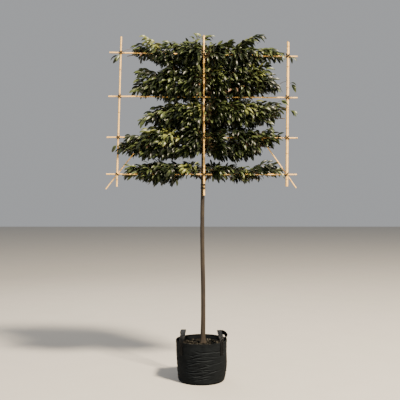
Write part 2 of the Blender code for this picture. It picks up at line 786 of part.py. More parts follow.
def tier_space(tier, above, side):
    """The box that one side's foliage keeps to: low and high corners."""
    i = 0 if side < 0 else 1
    ceiling = tier["ceiling"] if tier["ceiling"] is not None else above["floor"][i] - ROOM_BETWEEN_TIERS
    reach = tier["reach"][i]
    inner = STEM_X + side * ROOM_FROM_STEM_AXIS
    low_x, high_x = (-reach, inner) if side < 0 else (inner, reach)
    return (low_x, -CROWN_DEPTH, tier["floor"][i]), (high_x, CROWN_DEPTH, ceiling)


def make_limbs(bark):
    """The stem, and the boughs with a hidden cutter that keeps them a gap clear of it."""
    cutter = make_stem("stem_clearance", GAP, bark)
    cutter.hide_render = True
    cutter.display_type = "WIRE"
    limbs = [make_stem("trunk", 0.0, bark)]
    for tier in TIERS:
        for side, word in SIDES:
            limbs.append(make_bough(f"bough_{tier['name']}_{word}", tier, side, cutter, bark))
    return limbs


def grow_leader(obstacles):
    """The small tuft that carries the stem's tip on."""
    low = (STEM_X - LEADER_HALF_WIDTH, -LEADER_HALF_DEPTH, LEADER_FLOOR)
    high = (STEM_X + LEADER_HALF_WIDTH, LEADER_HALF_DEPTH, LEADER_TIP)
    leader = Foliage("foliage_leader", (low, high), obstacles, LEADER_SEED, LEADER_LEAF_SIZE)
    top = stem_centre(STEM_TOP) + UP * GAP
    path = [top] + [top + Vector(step) for step in LEADER_STEM]
    leader.grow(path, STEM_TIP_RADIUS, 0.6 * TWIG_RADIUS, LEADER_TWIG_LENGTH)
    return leader


def make_foliage(solids, leaf):
    """All masses in turn, each clear of the limbs, the canes and the masses before it."""
    obstacles = Obstacles()
    for solid in solids:
        obstacles.add_object(solid)
    masses = [grow_leader(obstacles)]
    obstacles.add_mass(masses[0])
    for number, tier in enumerate(TIERS):
        for side, word in SIDES:
            seed = 100 * (number + 1) + (1 if side < 0 else 2)
            space = tier_space(tier, TIERS[number - 1], side)
            mass = Foliage(f"foliage_{tier['name']}_{word}", space, obstacles, seed)
            path = stem_path(tier, side, random.Random(seed + 50))
            mass.grow(path, bough_radius(tier, side, 1.0) + 0.001, STEM_END_RADIUS, TWIG_LENGTH)
            masses.append(mass)
            obstacles.add_mass(mass)
    for mass in masses:
        mass.fuse(leaf)


clear_scene()
bark_colour = surface("grey_brown_bark", (0.065, 0.050, 0.038), 0.85)
leaf_colour = surface("glossy_green_leaf", (0.030, 0.060, 0.016), 0.42)
bamboo_colour = surface("dried_bamboo", (0.680, 0.510, 0.270), 0.55)
twine_colour = surface("dark_twine", (0.020, 0.014, 0.010), 0.90)
felt_colour = surface("black_felted_cloth", (0.012, 0.012, 0.013), 0.95)
soil_colour = surface("dark_compost", (0.028, 0.018, 0.012), 1.00)

make_bag(felt_colour)
make_soil(soil_colour)
make_handle("handle_left", -1.0, felt_colour)
make_handle("handle_right", 1.0, felt_colour)
limbs = make_limbs(bark_colour)
canes = make_frame(bamboo_colour, twine_colour)
make_foliage(limbs + canes, leaf_colour)
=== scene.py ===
"""Espalier laurel in a fabric bag: the looks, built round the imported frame.

Metres, +Z up, X along the flat crown, and the front of the plant looks towards -Y.
"""
import random
from math import atan2, copysign, cos, exp, hypot, pi, radians, sin, sqrt

import bmesh
import bpy
import numpy as np
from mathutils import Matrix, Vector, noise
from mathutils.geometry import convex_hull_2d


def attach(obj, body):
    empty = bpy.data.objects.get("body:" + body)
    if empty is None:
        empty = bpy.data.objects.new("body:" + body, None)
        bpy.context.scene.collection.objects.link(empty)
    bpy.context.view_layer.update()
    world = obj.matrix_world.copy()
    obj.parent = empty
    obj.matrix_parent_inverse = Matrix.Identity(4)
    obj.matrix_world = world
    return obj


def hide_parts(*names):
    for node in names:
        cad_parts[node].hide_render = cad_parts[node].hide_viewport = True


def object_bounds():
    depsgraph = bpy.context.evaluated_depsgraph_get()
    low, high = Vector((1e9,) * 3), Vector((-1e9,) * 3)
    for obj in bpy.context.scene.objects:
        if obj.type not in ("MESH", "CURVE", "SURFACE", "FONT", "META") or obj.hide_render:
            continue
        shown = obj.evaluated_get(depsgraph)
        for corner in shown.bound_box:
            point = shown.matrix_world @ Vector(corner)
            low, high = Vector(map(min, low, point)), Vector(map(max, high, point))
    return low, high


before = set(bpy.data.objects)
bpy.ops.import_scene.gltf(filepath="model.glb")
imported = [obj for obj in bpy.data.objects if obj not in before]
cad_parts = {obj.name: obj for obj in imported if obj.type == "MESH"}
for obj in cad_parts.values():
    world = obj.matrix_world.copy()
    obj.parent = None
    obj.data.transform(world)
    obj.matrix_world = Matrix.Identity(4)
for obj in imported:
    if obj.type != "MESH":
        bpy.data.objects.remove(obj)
cad_box = [list(corner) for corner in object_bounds()]
bpy.ops.object.select_all(action="DESELECT")


# Studio: a pale floor, a large soft key light from the front right, a wide fill from the left and
# an even pale surround.  The camera stands level at the middle of the plant's height.
CAMERA_PLACE = (-0.012, -5.23, 1.433)
CAMERA_LENS = 58.9
FLOOR_SIZE = 60
LAMP_AIM = Vector((0, 0, 1.4))
# The colour sockets of a Mix node in colour mode
MIX_A, MIX_B, MIX_OUT = 6, 7, 2


def linear(hex_colour):
    """An sRGB hex colour as the linear values that a shader takes."""
    parts = [int(hex_colour[i:i + 2], 16) / 255 for i in (1, 3, 5)]
    return (*[c / 12.92 if c <= 0.04045 else ((c + 0.055) / 1.055) ** 2.4 for c in parts], 1)


def set_inputs(node, inputs):
    """Fill input sockets: with a link from another node's output, a hex colour or a plain value."""
    for socket, value in inputs.items():
        if isinstance(value, bpy.types.NodeSocket):
            node.id_data.links.new(value, node.inputs[socket])
        else:
            node.inputs[socket].default_value = linear(value) if isinstance(value, str) else value


def add_node(tree, kind, out, inputs, **settings):
    """Add one node with its settings, values and links, and give back the output that is used."""
    made = tree.nodes.new("ShaderNode" + kind)
    for key, value in settings.items():
        setattr(made, key, value)
    set_inputs(made, inputs)
    return made.outputs[out]


def start_material(name, roughness, ior=1.5, specular=0.5, coat=0, coat_roughness=0.03):
    """A named material with its tree, its Principled shader and the object's coordinates."""
    made = bpy.data.materials.new(name)
    made.use_nodes = True
    shader = made.node_tree.nodes["Principled BSDF"]
    set_inputs(shader, {"Roughness": roughness, "IOR": ior, "Specular IOR Level": specular,
                        "Coat Weight": coat, "Coat Roughness": coat_roughness})
    return made, made.node_tree, shader, add_node(made.node_tree, "TexCoord", "Object", {})


def colour_shader(shader, factor, tones, layers=(), reliefs=()):
    """Colour a shader between two tones by a factor, lay further colours over it, and raise it.

    A layer is its mask, the mask's range with its top value, or None, and its colour.  A relief is a
    strength, a height in metres and what raises it.
    """
    tree, looks = shader.id_data, {}
    tone = add_node(tree, "Mix", MIX_OUT, {0: factor, MIX_A: tones[0], MIX_B: tones[1]}, data_type="RGBA")
    for mask, span, colour in layers:
        if span:
            mask = add_node(tree, "MapRange", "Result", {"From Min": span[0], "From Max": span[1],
                                                         "To Max": span[2], "Value": mask})
        tone = add_node(tree, "Mix", MIX_OUT, {0: mask, MIX_A: tone, MIX_B: colour}, data_type="RGBA")
    for strength, distance, height in reliefs:
        looks["Normal"] = add_node(tree, "Bump", "Normal", {"Strength": strength, "Distance": distance,
                                                            "Height": height, **looks})
    set_inputs(shader, {"Base Color": tone, **looks})


def two_tone_material(name, finish, tones, pattern, relief=None, cells=None, kind="TexNoise", **settings):
    """A material between two tones by one texture, raised by it or by cells of a given scale."""
    made, tree, shader, place = start_material(name, *finish)
    texture = raised = add_node(tree, kind, "Fac", {"Vector": place, **pattern}, **settings)
    if cells:
        raised = add_node(tree, "TexVoronoi", "Distance", {"Vector": place, "Scale": cells})
    colour_shader(shader, texture, tones, reliefs=[(*relief, raised)] if relief else ())
    return made


# Floor paint: matt, with slow faint changes of tone, so that it doesn't look printed
painted_floor = two_tone_material("matt_floor_paint", (0.9,), ("#bab7b1", "#b3b0aa"),
                                  {"Scale": 3, "Detail": 3})
bpy.ops.mesh.primitive_plane_add(size=FLOOR_SIZE)
floor = bpy.context.object
floor.name = "floor"
floor.data.materials.append(painted_floor)

bpy.ops.object.camera_add(location=CAMERA_PLACE, rotation=(radians(90), 0, 0))
camera = bpy.context.object
camera.data.lens = CAMERA_LENS
camera.data.clip_end = 100
bpy.context.scene.camera = camera

surround = bpy.data.worlds.new("pale_surround")
surround.use_nodes = True
set_inputs(surround.node_tree.nodes["Background"], {"Color": "#e9ebee", "Strength": 0.47})
bpy.context.scene.world = surround

for lamp_name, place, size, power, colour in (
        ("key_light", (5.8, -6.6, 11), 1.7, 7700, "#ffecd0"),
        ("fill_light", (-4.5, -4, 2.6), 3, 60, "#e8efff"),
        ("back_light", (-2, 4.5, 4.5), 2.5, 130, "#fff6ea")):
    heading = (LAMP_AIM - Vector(place)).to_track_quat("-Z", "Y").to_euler()
    bpy.ops.object.light_add(type="AREA", location=place, rotation=heading)
    lamp = bpy.context.object
    lamp.name = lamp_name
    lamp.data.size = size
    lamp.data.energy = power
    lamp.data.color = linear(colour)[:3]


# Bag: a round plant bag of black felted polypropylene cloth, filled and bulging a little, creased
# round its lower half, with a turned hem at the mouth sewn by two rows of stitches.
UP = Vector((0, 0, 1))
BAG_HEIGHT = 0.322
BAG_RIM_RADIUS = 0.202
BAG_SIDE_RADIUS = 0.189
BAG_SIDE_START = 0.03
BAG_FULLNESS = 4
BAG_FLAT_RADIUS = 0.174
BAG_LEAN = 0.0045
BAG_LEAN_TOP = 0.215
BAG_CLOTH = 0.0032
BAG_STEPS_ROUND = 240
BAG_STEPS_UP = 128
HEM_HEIGHT = 0.022
HEM_PROUD = 0.0011
RIM_WAVE = 0.0022
FOLD_COUNT = 110
FOLD_DEPTH = (0.0014, 0.0046)
FOLD_WIDTH = (0.003, 0.0062)
FRONT_FOLD_WIDTH = 0.0045
FOLD_HALF_TURN = (0.16, 0.55)
# Folds that the front shows: turn from the front to the right, height, half length as a turn, depth
FRONT_FOLDS = (
    (-0.24, 0.102, 0.56, 0.0092), (0.06, 0.143, 0.44, 0.007), (-0.32, 0.168, 0.34, 0.0062),
    (0.1, 0.196, 0.5, 0.0062), (-0.22, 0.238, 0.34, 0.005), (-0.08, 0.078, 0.42, 0.0062),
    (-0.04, 0.046, 0.46, 0.0052), (0.32, 0.165, 0.28, 0.005), (0.28, 0.108, 0.32, 0.005),
    (-0.44, 0.146, 0.26, 0.0056), (-0.16, 0.216, 0.36, 0.005), (0.12, 0.124, 0.3, 0.005),
)


def new_object(name, points, faces):
    """An object in the scene from its points and faces."""
    mesh = bpy.data.meshes.new(name)
    mesh.from_pydata([tuple(point) for point in points], [], faces)
    made = bpy.data.objects.new(name, mesh)
    bpy.context.scene.collection.objects.link(made)
    return made


def tube(rings):
    """Points and faces of a tube from its rings of points, with capped ends."""
    sides = len(rings[0])
    points = [point for ring in rings for point in ring]
    faces = [(low + i, low + (i + 1) % sides, low + sides + (i + 1) % sides, low + sides + i)
             for low in range(0, len(points) - sides, sides) for i in range(sides)]
    faces += [tuple(reversed(range(sides))), tuple(range(len(points) - sides, len(points)))]
    return points, faces


def join_parts(parts):
    """Points and faces of many parts as those of one."""
    points, faces = [], []
    for part_points, part_faces in parts:
        start = len(points)
        points += part_points
        faces += [tuple(start + i for i in face) for face in part_faces]
    return points, faces


def point_outwards(made):
    """Merge what lies together and turn all faces outwards."""
    bm = bmesh.new()
    bm.from_mesh(made.data)
    bmesh.ops.remove_doubles(bm, verts=bm.verts, dist=1e-6)
    bmesh.ops.recalc_face_normals(bm, faces=bm.faces)
    bm.to_mesh(made.data)
    bm.free()


def start_editing(made, kind, wanted):
    """Enter edit mode with only the wanted edges or faces selected."""
    bpy.ops.object.mode_set(mode="EDIT")
    bpy.ops.mesh.select_all(action="DESELECT")
    bm = bmesh.from_edit_mesh(made.data)
    for element in getattr(bm, kind):
        if wanted(element):
            element.select = True
    bmesh.update_edit_mesh(made.data)


def finish_piece(made, material, slot, *nodes, smooth=40):
    """Give a piece its material and body, and let it stand for its CAD nodes.  The slot is not used."""
    bpy.ops.object.select_all(action="DESELECT")
    made.select_set(True)
    bpy.context.view_layer.objects.active = made
    if smooth:
        bpy.ops.object.shade_smooth_by_angle(angle=radians(smooth))
    made.data.materials.clear()
    made.data.materials.append(material)
    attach(made, "root")
    if nodes:
        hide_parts(*nodes)
    made.select_set(False)


def bag_radius(height):
    """Outer radius of the plain bag at a height: rounded lower edge, wall that is full up to the rim."""
    if height < BAG_SIDE_START:
        share = max(height, 0) / BAG_SIDE_START
        bulge = sqrt(1 - (1 - share) ** 2)
        return BAG_FLAT_RADIUS + (BAG_SIDE_RADIUS - BAG_FLAT_RADIUS) * bulge
    share = (height - BAG_SIDE_START) / (BAG_HEIGHT - BAG_SIDE_START)
    return BAG_RIM_RADIUS - (BAG_RIM_RADIUS - BAG_SIDE_RADIUS) * (1 - share) ** BAG_FULLNESS


fold_rng = random.Random(17)
folds = [(angle - 0.5 * pi, height, half_turn, depth, FRONT_FOLD_WIDTH, fold_rng.uniform(-0.016, 0.016))
         for angle, height, half_turn, depth in FRONT_FOLDS]
for _ in range(FOLD_COUNT):
    folds.append((fold_rng.uniform(-pi, pi), 0.022 + 0.25 * fold_rng.random() ** 1.5,
                  fold_rng.uniform(*FOLD_HALF_TURN), fold_rng.uniform(*FOLD_DEPTH),
                  fold_rng.uniform(*FOLD_WIDTH), fold_rng.uniform(-0.024, 0.024)))


def outward(angle):
    """The level unit vector that points away from the axis at an angle."""
    return Vector((cos(angle), sin(angle), 0))


def bag_relief(angle, height):
    """How far the filled cloth stands in or out: a sag to one side, slow bulges, and folds part-way round."""
    around = outward(angle)
    relief = 0.0032 * noise.noise(around * 1.6 + UP * height * 7)
    relief += 0.001 * noise.noise(around * 7 + UP * height * 60)
    relief += BAG_LEAN * cos(angle) * sin(pi * min(1, height / BAG_LEAN_TOP))
    for fold_angle, fold_height, half_turn, depth, width, slope in folds:
        share = ((angle - fold_angle + pi) % (2 * pi) - pi) / half_turn
        if abs(share) > 1:
            continue
        line = fold_height + slope * share + 0.007 * share * share + 0.004 * sin(3 * share + 40 * slope)
        t = (height - line) / width
        if abs(t) < 4:
            relief -= depth * (1 - share * share) ** 1.5 * (1 - 0.8 * t * t) * exp(-0.6 * t * t)
    return relief * min(1, height / 0.026)


bpy.ops.mesh.primitive_circle_add(vertices=BAG_STEPS_ROUND, radius=BAG_FLAT_RADIUS, fill_type="TRIFAN")
bag = bpy.context.object
bag.name = "fabric_bag_cloth"
start_editing(bag, "edges", lambda edge: edge.is_boundary)
for step in range(BAG_STEPS_UP):
    bpy.ops.mesh.extrude_region_move(TRANSFORM_OT_translate={"value": (0, 0, BAG_HEIGHT / BAG_STEPS_UP)})
bpy.ops.object.mode_set(mode="OBJECT")
for vertex in bag.data.vertices:
    x, y, height = vertex.co
    if hypot(x, y) < 0.5 * BAG_FLAT_RADIUS:
        continue
    angle = atan2(y, x)
    radius = bag_radius(height) + bag_relief(angle, height)
    if height > BAG_HEIGHT - HEM_HEIGHT:
        radius += HEM_PROUD
    wave = RIM_WAVE * noise.noise(1.7 * outward(angle) + 4 * UP)
    vertex.co = radius * outward(angle) + UP * (height + wave * max(0, height / BAG_HEIGHT - 0.75) / 0.25)
point_outwards(bag)
wall = bag.modifiers.new("cloth_thickness", "SOLIDIFY")
wall.thickness = BAG_CLOTH
wall.offset = -1
bpy.ops.object.modifier_apply(modifier="cloth_thickness")

# Needle-punched felt: matt, slightly fuzzy black cloth, with dust in it, and painted light on the upper side
# of its folds, which are coloured lighter where the cloth faces up
FIBRE_SPACING = 0.0016
bag_felt, tree, shader, place = start_material("needle_punched_felt", 0.9, 1.45, 0.14)
fibres = add_node(tree, "TexNoise", "Fac", {"Scale": 1 / FIBRE_SPACING, "Detail": 4, "Roughness": 0.7,
                                            "Vector": place})
dust = add_node(tree, "TexNoise", "Fac", {"Scale": 14, "Detail": 6, "Roughness": 0.65, "Vector": place})
# Painted highlight: the felt turns a lighter grey where its surface faces upwards, as if lit from above
faces_up_painted_light = add_node(tree, "SeparateXYZ", "Z", {"Vector": add_node(tree, "NewGeometry", "Normal", {})})
colour_shader(shader, fibres, ("#030608", "#0d1115"),
              [(dust, (0.42, 0.75, 0.8), "#15191c"), (faces_up_painted_light, (0.16, 0.8, 1), "#1f2326")],
              [(0.5, 0.0007, fibres)])
finish_piece(bag, bag_felt, "bag_cloth", "fabric_bag", smooth=60)

# Sewing thread of the bag: polyester, with a faint gloss.  Each stitch is a short bar that dips into
# the cloth at both ends, laid along the hem in two rows.
STITCH_LENGTH = 0.0058
STITCH_PITCH = 0.0076
STITCH_RADIUS = 0.00055
STITCH_ROWS_BELOW_RIM = (0.006, 0.017)
# Along a stitch: place as a share of its length, rise and thickness as shares of its radius
STITCH_SHAPE = ((-0.5, -1.2, 0.4), (-0.28, 0.5, 1), (0.28, 0.5, 1), (0.5, -1.2, 0.4))
thread = two_tone_material("black_polyester_thread", (0.55, 1.5, 0.15), ("#060708", "#121315"),
                           {"Scale": 420, "Distortion": 0.5}, kind="TexWave", bands_direction="DIAGONAL")


def circle(centre, radius, across, over, sides, first=0):
    """Points round a centre, from a first step on."""
    turns = [2 * pi * (i + first) / sides for i in range(sides)]
    return [centre + radius * (cos(turn) * across + sin(turn) * over) for turn in turns]


def stitches(name, spots, slot):
    """Many stitches as one piece.  A spot is its centre, its direction and the cloth's outward normal."""
    parts = []
    for centre, along, out in spots:
        side = along.cross(out).normalized()
        rings = [circle(centre + along * run * STITCH_LENGTH + out * rise * STITCH_RADIUS,
                        STITCH_RADIUS * size, side, out, 4, 0.5) for run, rise, size in STITCH_SHAPE]
        parts.append(tube(rings))
    made = new_object(name, *join_parts(parts))
    point_outwards(made)
    finish_piece(made, thread, slot)


hem_spots = []
hem_count = int(2 * pi * BAG_RIM_RADIUS / STITCH_PITCH)
for below_rim in STITCH_ROWS_BELOW_RIM:
    height = BAG_HEIGHT - below_rim
    for i in range(hem_count):
        angle = 2 * pi * i / hem_count
        out = outward(angle)
        radius = bag_radius(height) + bag_relief(angle, height) + HEM_PROUD
        hem_spots.append((out * radius + UP * height, UP.cross(out), out))
stitches("bag_hem_stitching", hem_spots, "bag_cloth")


# Handles: flat polypropylene webbing, sewn to the outside of the bag on both legs of each loop.
# The legs stand a little to the front, and above the rim they twist into an arch over the edge.
STRAP_WIDTH = 0.038
STRAP_THICKNESS = 0.0026
STRAP_SEWN_LENGTH = 0.1
STRAP_RISE = 0.07
STRAP_TOP_FROM_AXIS = 0.142
STRAP_STAND = 0.02
# How far the front and the back leg stand from the bag's side, in degrees
STRAP_TURNS = {-1: (39.375, 39.375), 1: (39.375, 16.875)}
STRAP_TWIST = 1.2
STRAP_SEAT = 0.0022
STRAP_SMOOTH_STEPS = 7
STRAP_SAG, STRAP_SAG_SPACING = 0.0012, 0.085
STRAP_EDGE_ROUNDING = (0.35, 0.6)
STRAP_SIDES = 16


def leg_stations(side, way, degrees):
    """Centres and width directions of one leg, from its sewn end up to the middle of the arch.

    The way is -1 for a front leg and 1 for a back leg, and the turn is counted from the bag's side.
    """
    spread = radians(degrees)
    radial = Vector((side * cos(spread), way * sin(spread), 0))
    along_wall = Vector((side * sin(spread), -way * cos(spread), 0))
    arch_width = Vector((side, 0, 0))
    leg = []
    for z in [BAG_HEIGHT - STRAP_SEWN_LENGTH * share for share in (1, 0.66, 0.33, 0, -0.06)]:
        leg.append((radial * (bag_radius(min(z, BAG_HEIGHT)) + STRAP_SEAT) + UP * z, along_wall))
    foot = leg[-1][0] + UP * STRAP_STAND
    leg.append((foot, along_wall + STRAP_TWIST * arch_width))
    top = Vector((side * STRAP_TOP_FROM_AXIS, 0, BAG_HEIGHT + STRAP_RISE))
    for i in range(1, 6):
        turn = 0.5 * pi * i / 5
        centre = foot.lerp(top, sin(turn))
        centre.y = foot.y * cos(turn)
        leg.append((centre, arch_width))
    return leg


def smooth_between(values, steps):
    """Points of a smooth curve through all the values, with so many steps between neighbours."""
    made = []
    for k in range(len(values) - 1):
        a, b, c, d = values[max(k - 1, 0)], values[k], values[k + 1], values[min(k + 2, len(values) - 1)]
        for t in [i / steps for i in range(steps)]:
            made.append(0.5 * (2 * b + (c - a) * t + (2 * a - 5 * b + 4 * c - d) * t * t
                               + (3 * b - a - 3 * c + d) * t ** 3))
    return made + [values[-1].copy()]


# Woven polypropylene webbing: ribs across the strap at the weft's spacing, matt where it is sewn down
# and rubbed to a dull gloss by hands where it arches over the rim, where lighter patches are partly rubbed
# wear and partly a painted sheen
RIB_SPACING = 0.0022
WAVE_PERIOD = 0.318
webbing, tree, shader, place = start_material("woven_polypropylene_webbing", 0.42, 1.49, 0.1)
strap_uv = add_node(tree, "UVMap", "UV", {}, uv_map="strap")
ribs = add_node(tree, "TexWave", "Fac", {"Scale": WAVE_PERIOD / RIB_SPACING, "Distortion": 0.6, "Detail": 1,
                                         "Vector": strap_uv}, bands_direction="Y")
rubbed_and_sheen_patches = add_node(tree, "TexNoise", "Fac", {"Scale": 45, "Detail": 4, "Vector": strap_uv})
rubbed_and_sheen_patches = add_node(tree, "MapRange", "Result", {"From Min": 0.4, "From Max": 0.7, "Value": rubbed_and_sheen_patches})
above_rim = add_node(tree, "MapRange", "Result", {
    "From Min": BAG_HEIGHT - 0.004, "From Max": BAG_HEIGHT + 0.024,
    "Value": add_node(tree, "SeparateXYZ", "Z", {"Vector": place})})
# Painted sheen: patches on the arch above the rim are coloured lighter, partly as rubbed wear and partly as a
# painted highlight
worn_and_painted_sheen = add_node(tree, "Math", "Value", {0: rubbed_and_sheen_patches, 1: above_rim}, operation="MULTIPLY")
gloss = add_node(tree, "MapRange", "Result", {"To Min": 0.06, "To Max": 0.15, "Value": above_rim})
set_inputs(shader, {"Specular IOR Level": gloss})
colour_shader(shader, ribs, ("#030405", "#08090c"), [(worn_and_painted_sheen, None, "#0f1115")], [(0.6, 0.0006, ribs)])

strap_section = []
for i in range(STRAP_SIDES):
    corner = [cos(2 * pi * (i + 0.5) / STRAP_SIDES), sin(2 * pi * (i + 0.5) / STRAP_SIDES)]
    strap_section.append([0.5 * copysign(abs(c) ** p, c) for c, p in zip(corner, STRAP_EDGE_ROUNDING)])

for side, word in ((-1, "left"), (1, "right")):
    front, back = STRAP_TURNS[side]
    stations = leg_stations(side, -1, front) + leg_stations(side, 1, back)[-2::-1]
    centres = smooth_between([centre for centre, _ in stations], STRAP_SMOOTH_STEPS)
    widths = smooth_between([width.normalized() for _, width in stations], STRAP_SMOOTH_STEPS)
    rings, frames, lengths = [], [], [0]
    for k, centre in enumerate(centres):
        along = (centres[min(k + 1, len(centres) - 1)] - centres[max(k - 1, 0)]).normalized()
        wide = (widths[k] - along * widths[k].dot(along)).normalized()
        thick = along.cross(wide).normalized()
        if k:
            lengths.append(lengths[-1] + (centre - centres[k - 1]).length)
        sag = STRAP_SAG * sin(2 * pi * lengths[-1] / STRAP_SAG_SPACING)
        frames.append((centre, along, wide, Vector((centre.x, centre.y, 0)).normalized()))
        rings.append([centre + u * STRAP_WIDTH * wide + (v * STRAP_THICKNESS + sag * u * u) * thick
                      for u, v in strap_section])
    handle = new_object(f"webbing_handle_{word}", *tube(rings))
    strap_map = handle.data.uv_layers.new(name="strap")
    for loop in handle.data.loops:
        k, i = divmod(loop.vertex_index, STRAP_SIDES)
        strap_map.data[loop.index].uv = (strap_section[i][0] * STRAP_WIDTH, lengths[k])
    point_outwards(handle)
    finish_piece(handle, webbing, "webbing", f"handle_{word}", smooth=50)
    spots = []
    for k, (centre, along, wide, out) in enumerate(frames[:-1]):
        if centre.z <= BAG_HEIGHT - 0.004:
            face = centre + out * 0.5 * STRAP_THICKNESS
            spots += [(face + wide * u * STRAP_WIDTH + (centres[k + 1] - centre) * part, along, out)
                      for u in (-0.4, 0.4) for part in (0.25, 0.75)]
    for centre, into, wide, out in (frames[0], (frames[-1][0], -frames[-1][1], *frames[-1][2:])):
        for depth in (0.005, 0.03, 0.07):
            lean = 0.25 * (bag_radius(centre.z + depth) - bag_radius(centre.z))
            spots += [(centre + into * depth + out * (0.5 * STRAP_THICKNESS + lean) + wide * u * STRAP_WIDTH,
                       wide, out) for u in (-0.3, -0.1, 0.1, 0.3)]
    stitches(f"handle_stitching_{word}", spots, "webbing")


# Compost: dark moist bark compost, uneven on top, under a loose layer of bark chips in three tones.
# Its top lies about 3 cm below the rim.
SOIL_TOP = 0.29
SOIL_EDGE_DROP = 0.012
SOIL_RIM_RADIUS = 0.1935
SOIL_DEPTH = 0.06
SOIL_STEPS = 26
CHIP_COUNT = 760
CHIP_SIZE = (0.01, 0.029)
CHIP_RING = 0.1735

compost_dirt = two_tone_material("moist_bark_compost", (0.95, 1.4, 0.12), ("#090806", "#17130f"),
                                 {"Scale": 22, "Detail": 6}, (0.8, 0.002), cells=160)


def soil_height(x, y):
    """Height of the compost's surface, lower towards the wall and lumpy all over."""
    share = min(1, hypot(x, y) / SOIL_RIM_RADIUS)
    lumps = 0.004 * noise.noise(Vector((x * 28, y * 28, 1)))
    lumps += 0.002 * noise.noise(Vector((x * 90, y * 90, 2)))
    return SOIL_TOP - SOIL_EDGE_DROP * share ** 1.6 + lumps


bpy.ops.mesh.primitive_cylinder_add(vertices=96, radius=SOIL_RIM_RADIUS, depth=1, location=(0, 0, 0.5))
soil = bpy.context.object
soil.name = "bark_compost"
bpy.ops.object.transform_apply(location=True)
start_editing(soil, "faces", lambda face: face.normal.z > 0.9)
for step in range(SOIL_STEPS):
    bpy.ops.mesh.inset(thickness=SOIL_RIM_RADIUS / (SOIL_STEPS + 1.5), depth=0)
bpy.ops.mesh.poke()
bpy.ops.object.mode_set(mode="OBJECT")
for vertex in soil.data.vertices:
    x, y, z = vertex.co
    vertex.co.z = soil_height(x, y) if z > 0.5 else SOIL_TOP - SOIL_DEPTH
point_outwards(soil)
finish_piece(soil, compost_dirt, "compost", "compost", smooth=50)


def bark_chip(rng, place, size):
    """Points and faces of one bark chip: a flat piece with a broken outline of six corners."""
    turn = rng.uniform(0, 2 * pi)
    long_way = (outward(turn) + UP * rng.uniform(-0.45, 0.45)).normalized()
    level = Vector((-sin(turn), cos(turn), rng.uniform(-0.45, 0.45)))
    wide_way = (level - long_way * level.dot(long_way)).normalized()
    thick_way = long_way.cross(wide_way)
    thickness = rng.uniform(0.1, 0.22) * size
    rings = []
    for layer, shrink in ((-0.5, 1), (0.5, 0.88)):
        ring = []
        for i in range(6):
            corner = 2 * pi * (i + rng.uniform(-0.25, 0.25)) / 6
            a = 0.5 * size * cos(corner) * shrink
            b = 0.29 * size * sin(corner) * shrink * rng.uniform(0.7, 1.15)
            ring.append(place + long_way * a + wide_way * b + thick_way * layer * thickness)
        rings.append(ring)
    return tube(rings)


# Dry split bark: fibrous, with darker and paler streaks along the piece
chip_rng = random.Random(5)
for chips_name, share, look_name, tones in (
        ("bark_chips_dark", 0.52, "dark_bark_chip", ("#080807", "#15130f")),
        ("bark_chips_brown", 0.32, "brown_bark_chip", ("#100f0c", "#23201a")),
        ("bark_chips_pale", 0.16, "weathered_bark_chip", ("#2a2925", "#504d44"))):
    parts = []
    for n in range(int(CHIP_COUNT * share)):
        radius = CHIP_RING * sqrt(chip_rng.uniform(0.04, 1))
        x, y, _ = radius * outward(chip_rng.uniform(0, 2 * pi))
        size = chip_rng.uniform(*CHIP_SIZE)
        place = Vector((x, y, soil_height(x, y) + chip_rng.uniform(0, 0.007)))
        parts.append(bark_chip(chip_rng, place, size))
    chips = new_object(chips_name, *join_parts(parts))
    point_outwards(chips)
    look = two_tone_material(look_name, (0.9, 1.45, 0.12), tones, {"Scale": 130, "Detail": 4},
                             (0.6, 0.001))
    finish_piece(chips, look, "compost", smooth=0)


# Stem and boughs: grey-brown cherry-laurel bark, smooth when young, with cross-wise pores and fine
# cracks that deepen towards the root flare.  The stem runs whole up through the tiers.
STEM_X = 0.01
STEM_FRONT = -0.016
STEM_FOOT_RADIUS = 0.0185
STEM_CROWN_RADIUS = 0.016
STEM_TIP_RADIUS = 0.0035
STEM_FLARE = 0.01
STEM_FLARE_HEIGHT = 0.035
STEM_WAVE = 0.004
STEM_BOW = 0.003
CROWN_FOOT = 1.5
STEM_TOP = 2.68
STEM_SIDES = 40
STEM_RING_STEP = 0.007
BARK_GROOVE = 0.0009


def stem_flare(z):
    """Share of the root flare that is left at a height."""
    return exp(-(z - SOIL_TOP) / STEM_FLARE_HEIGHT)


def stem_radius(z):
    """The stem's true taper, with the root flare at its foot."""
    if z < CROWN_FOOT:
        share = (z - SOIL_TOP) / (CROWN_FOOT - SOIL_TOP)
        taper = STEM_FOOT_RADIUS + (STEM_CROWN_RADIUS - STEM_FOOT_RADIUS) * share
    else:
        share = (z - CROWN_FOOT) / (STEM_TOP - CROWN_FOOT)
        taper = STEM_CROWN_RADIUS + (STEM_TIP_RADIUS - STEM_CROWN_RADIUS) * share ** 1.15
    return taper + STEM_FLARE * stem_flare(z)


def stem_centre(z):
    """The stem's axis: a slight wave below, and its front along the canes in the crown."""
    share = max(0, min(1, (z - SOIL_TOP) / (CROWN_FOOT - SOIL_TOP)))
    x = STEM_X + STEM_WAVE * sin(2 * pi * share)
    y = STEM_BOW * sin(pi * share)
    if z > CROWN_FOOT:
        share = (z - CROWN_FOOT) / (STEM_TOP - CROWN_FOOT)
        y = STEM_FRONT + stem_radius(z)
        x = STEM_X + STEM_BOW * sin(2 * pi * share)
    return Vector((x, y, z))


def bark_relief(angle, along, radius):
    """Height of the bark: long shallow cracks, cross-wise pores and slow unevenness."""
    around = outward(angle)
    cracks = noise.noise(around * 3.4 + UP * along * 22)
    pores = noise.noise(around * 2.2 + UP * along * 170)
    slow = noise.noise(around * 0.8 + UP * along * 6)
    relief = 0.9 * slow - max(0, 1 - 4.5 * abs(cracks)) + 0.5 * max(0, pores - 0.25)
    return BARK_GROOVE * min(1, radius / 0.014) * relief


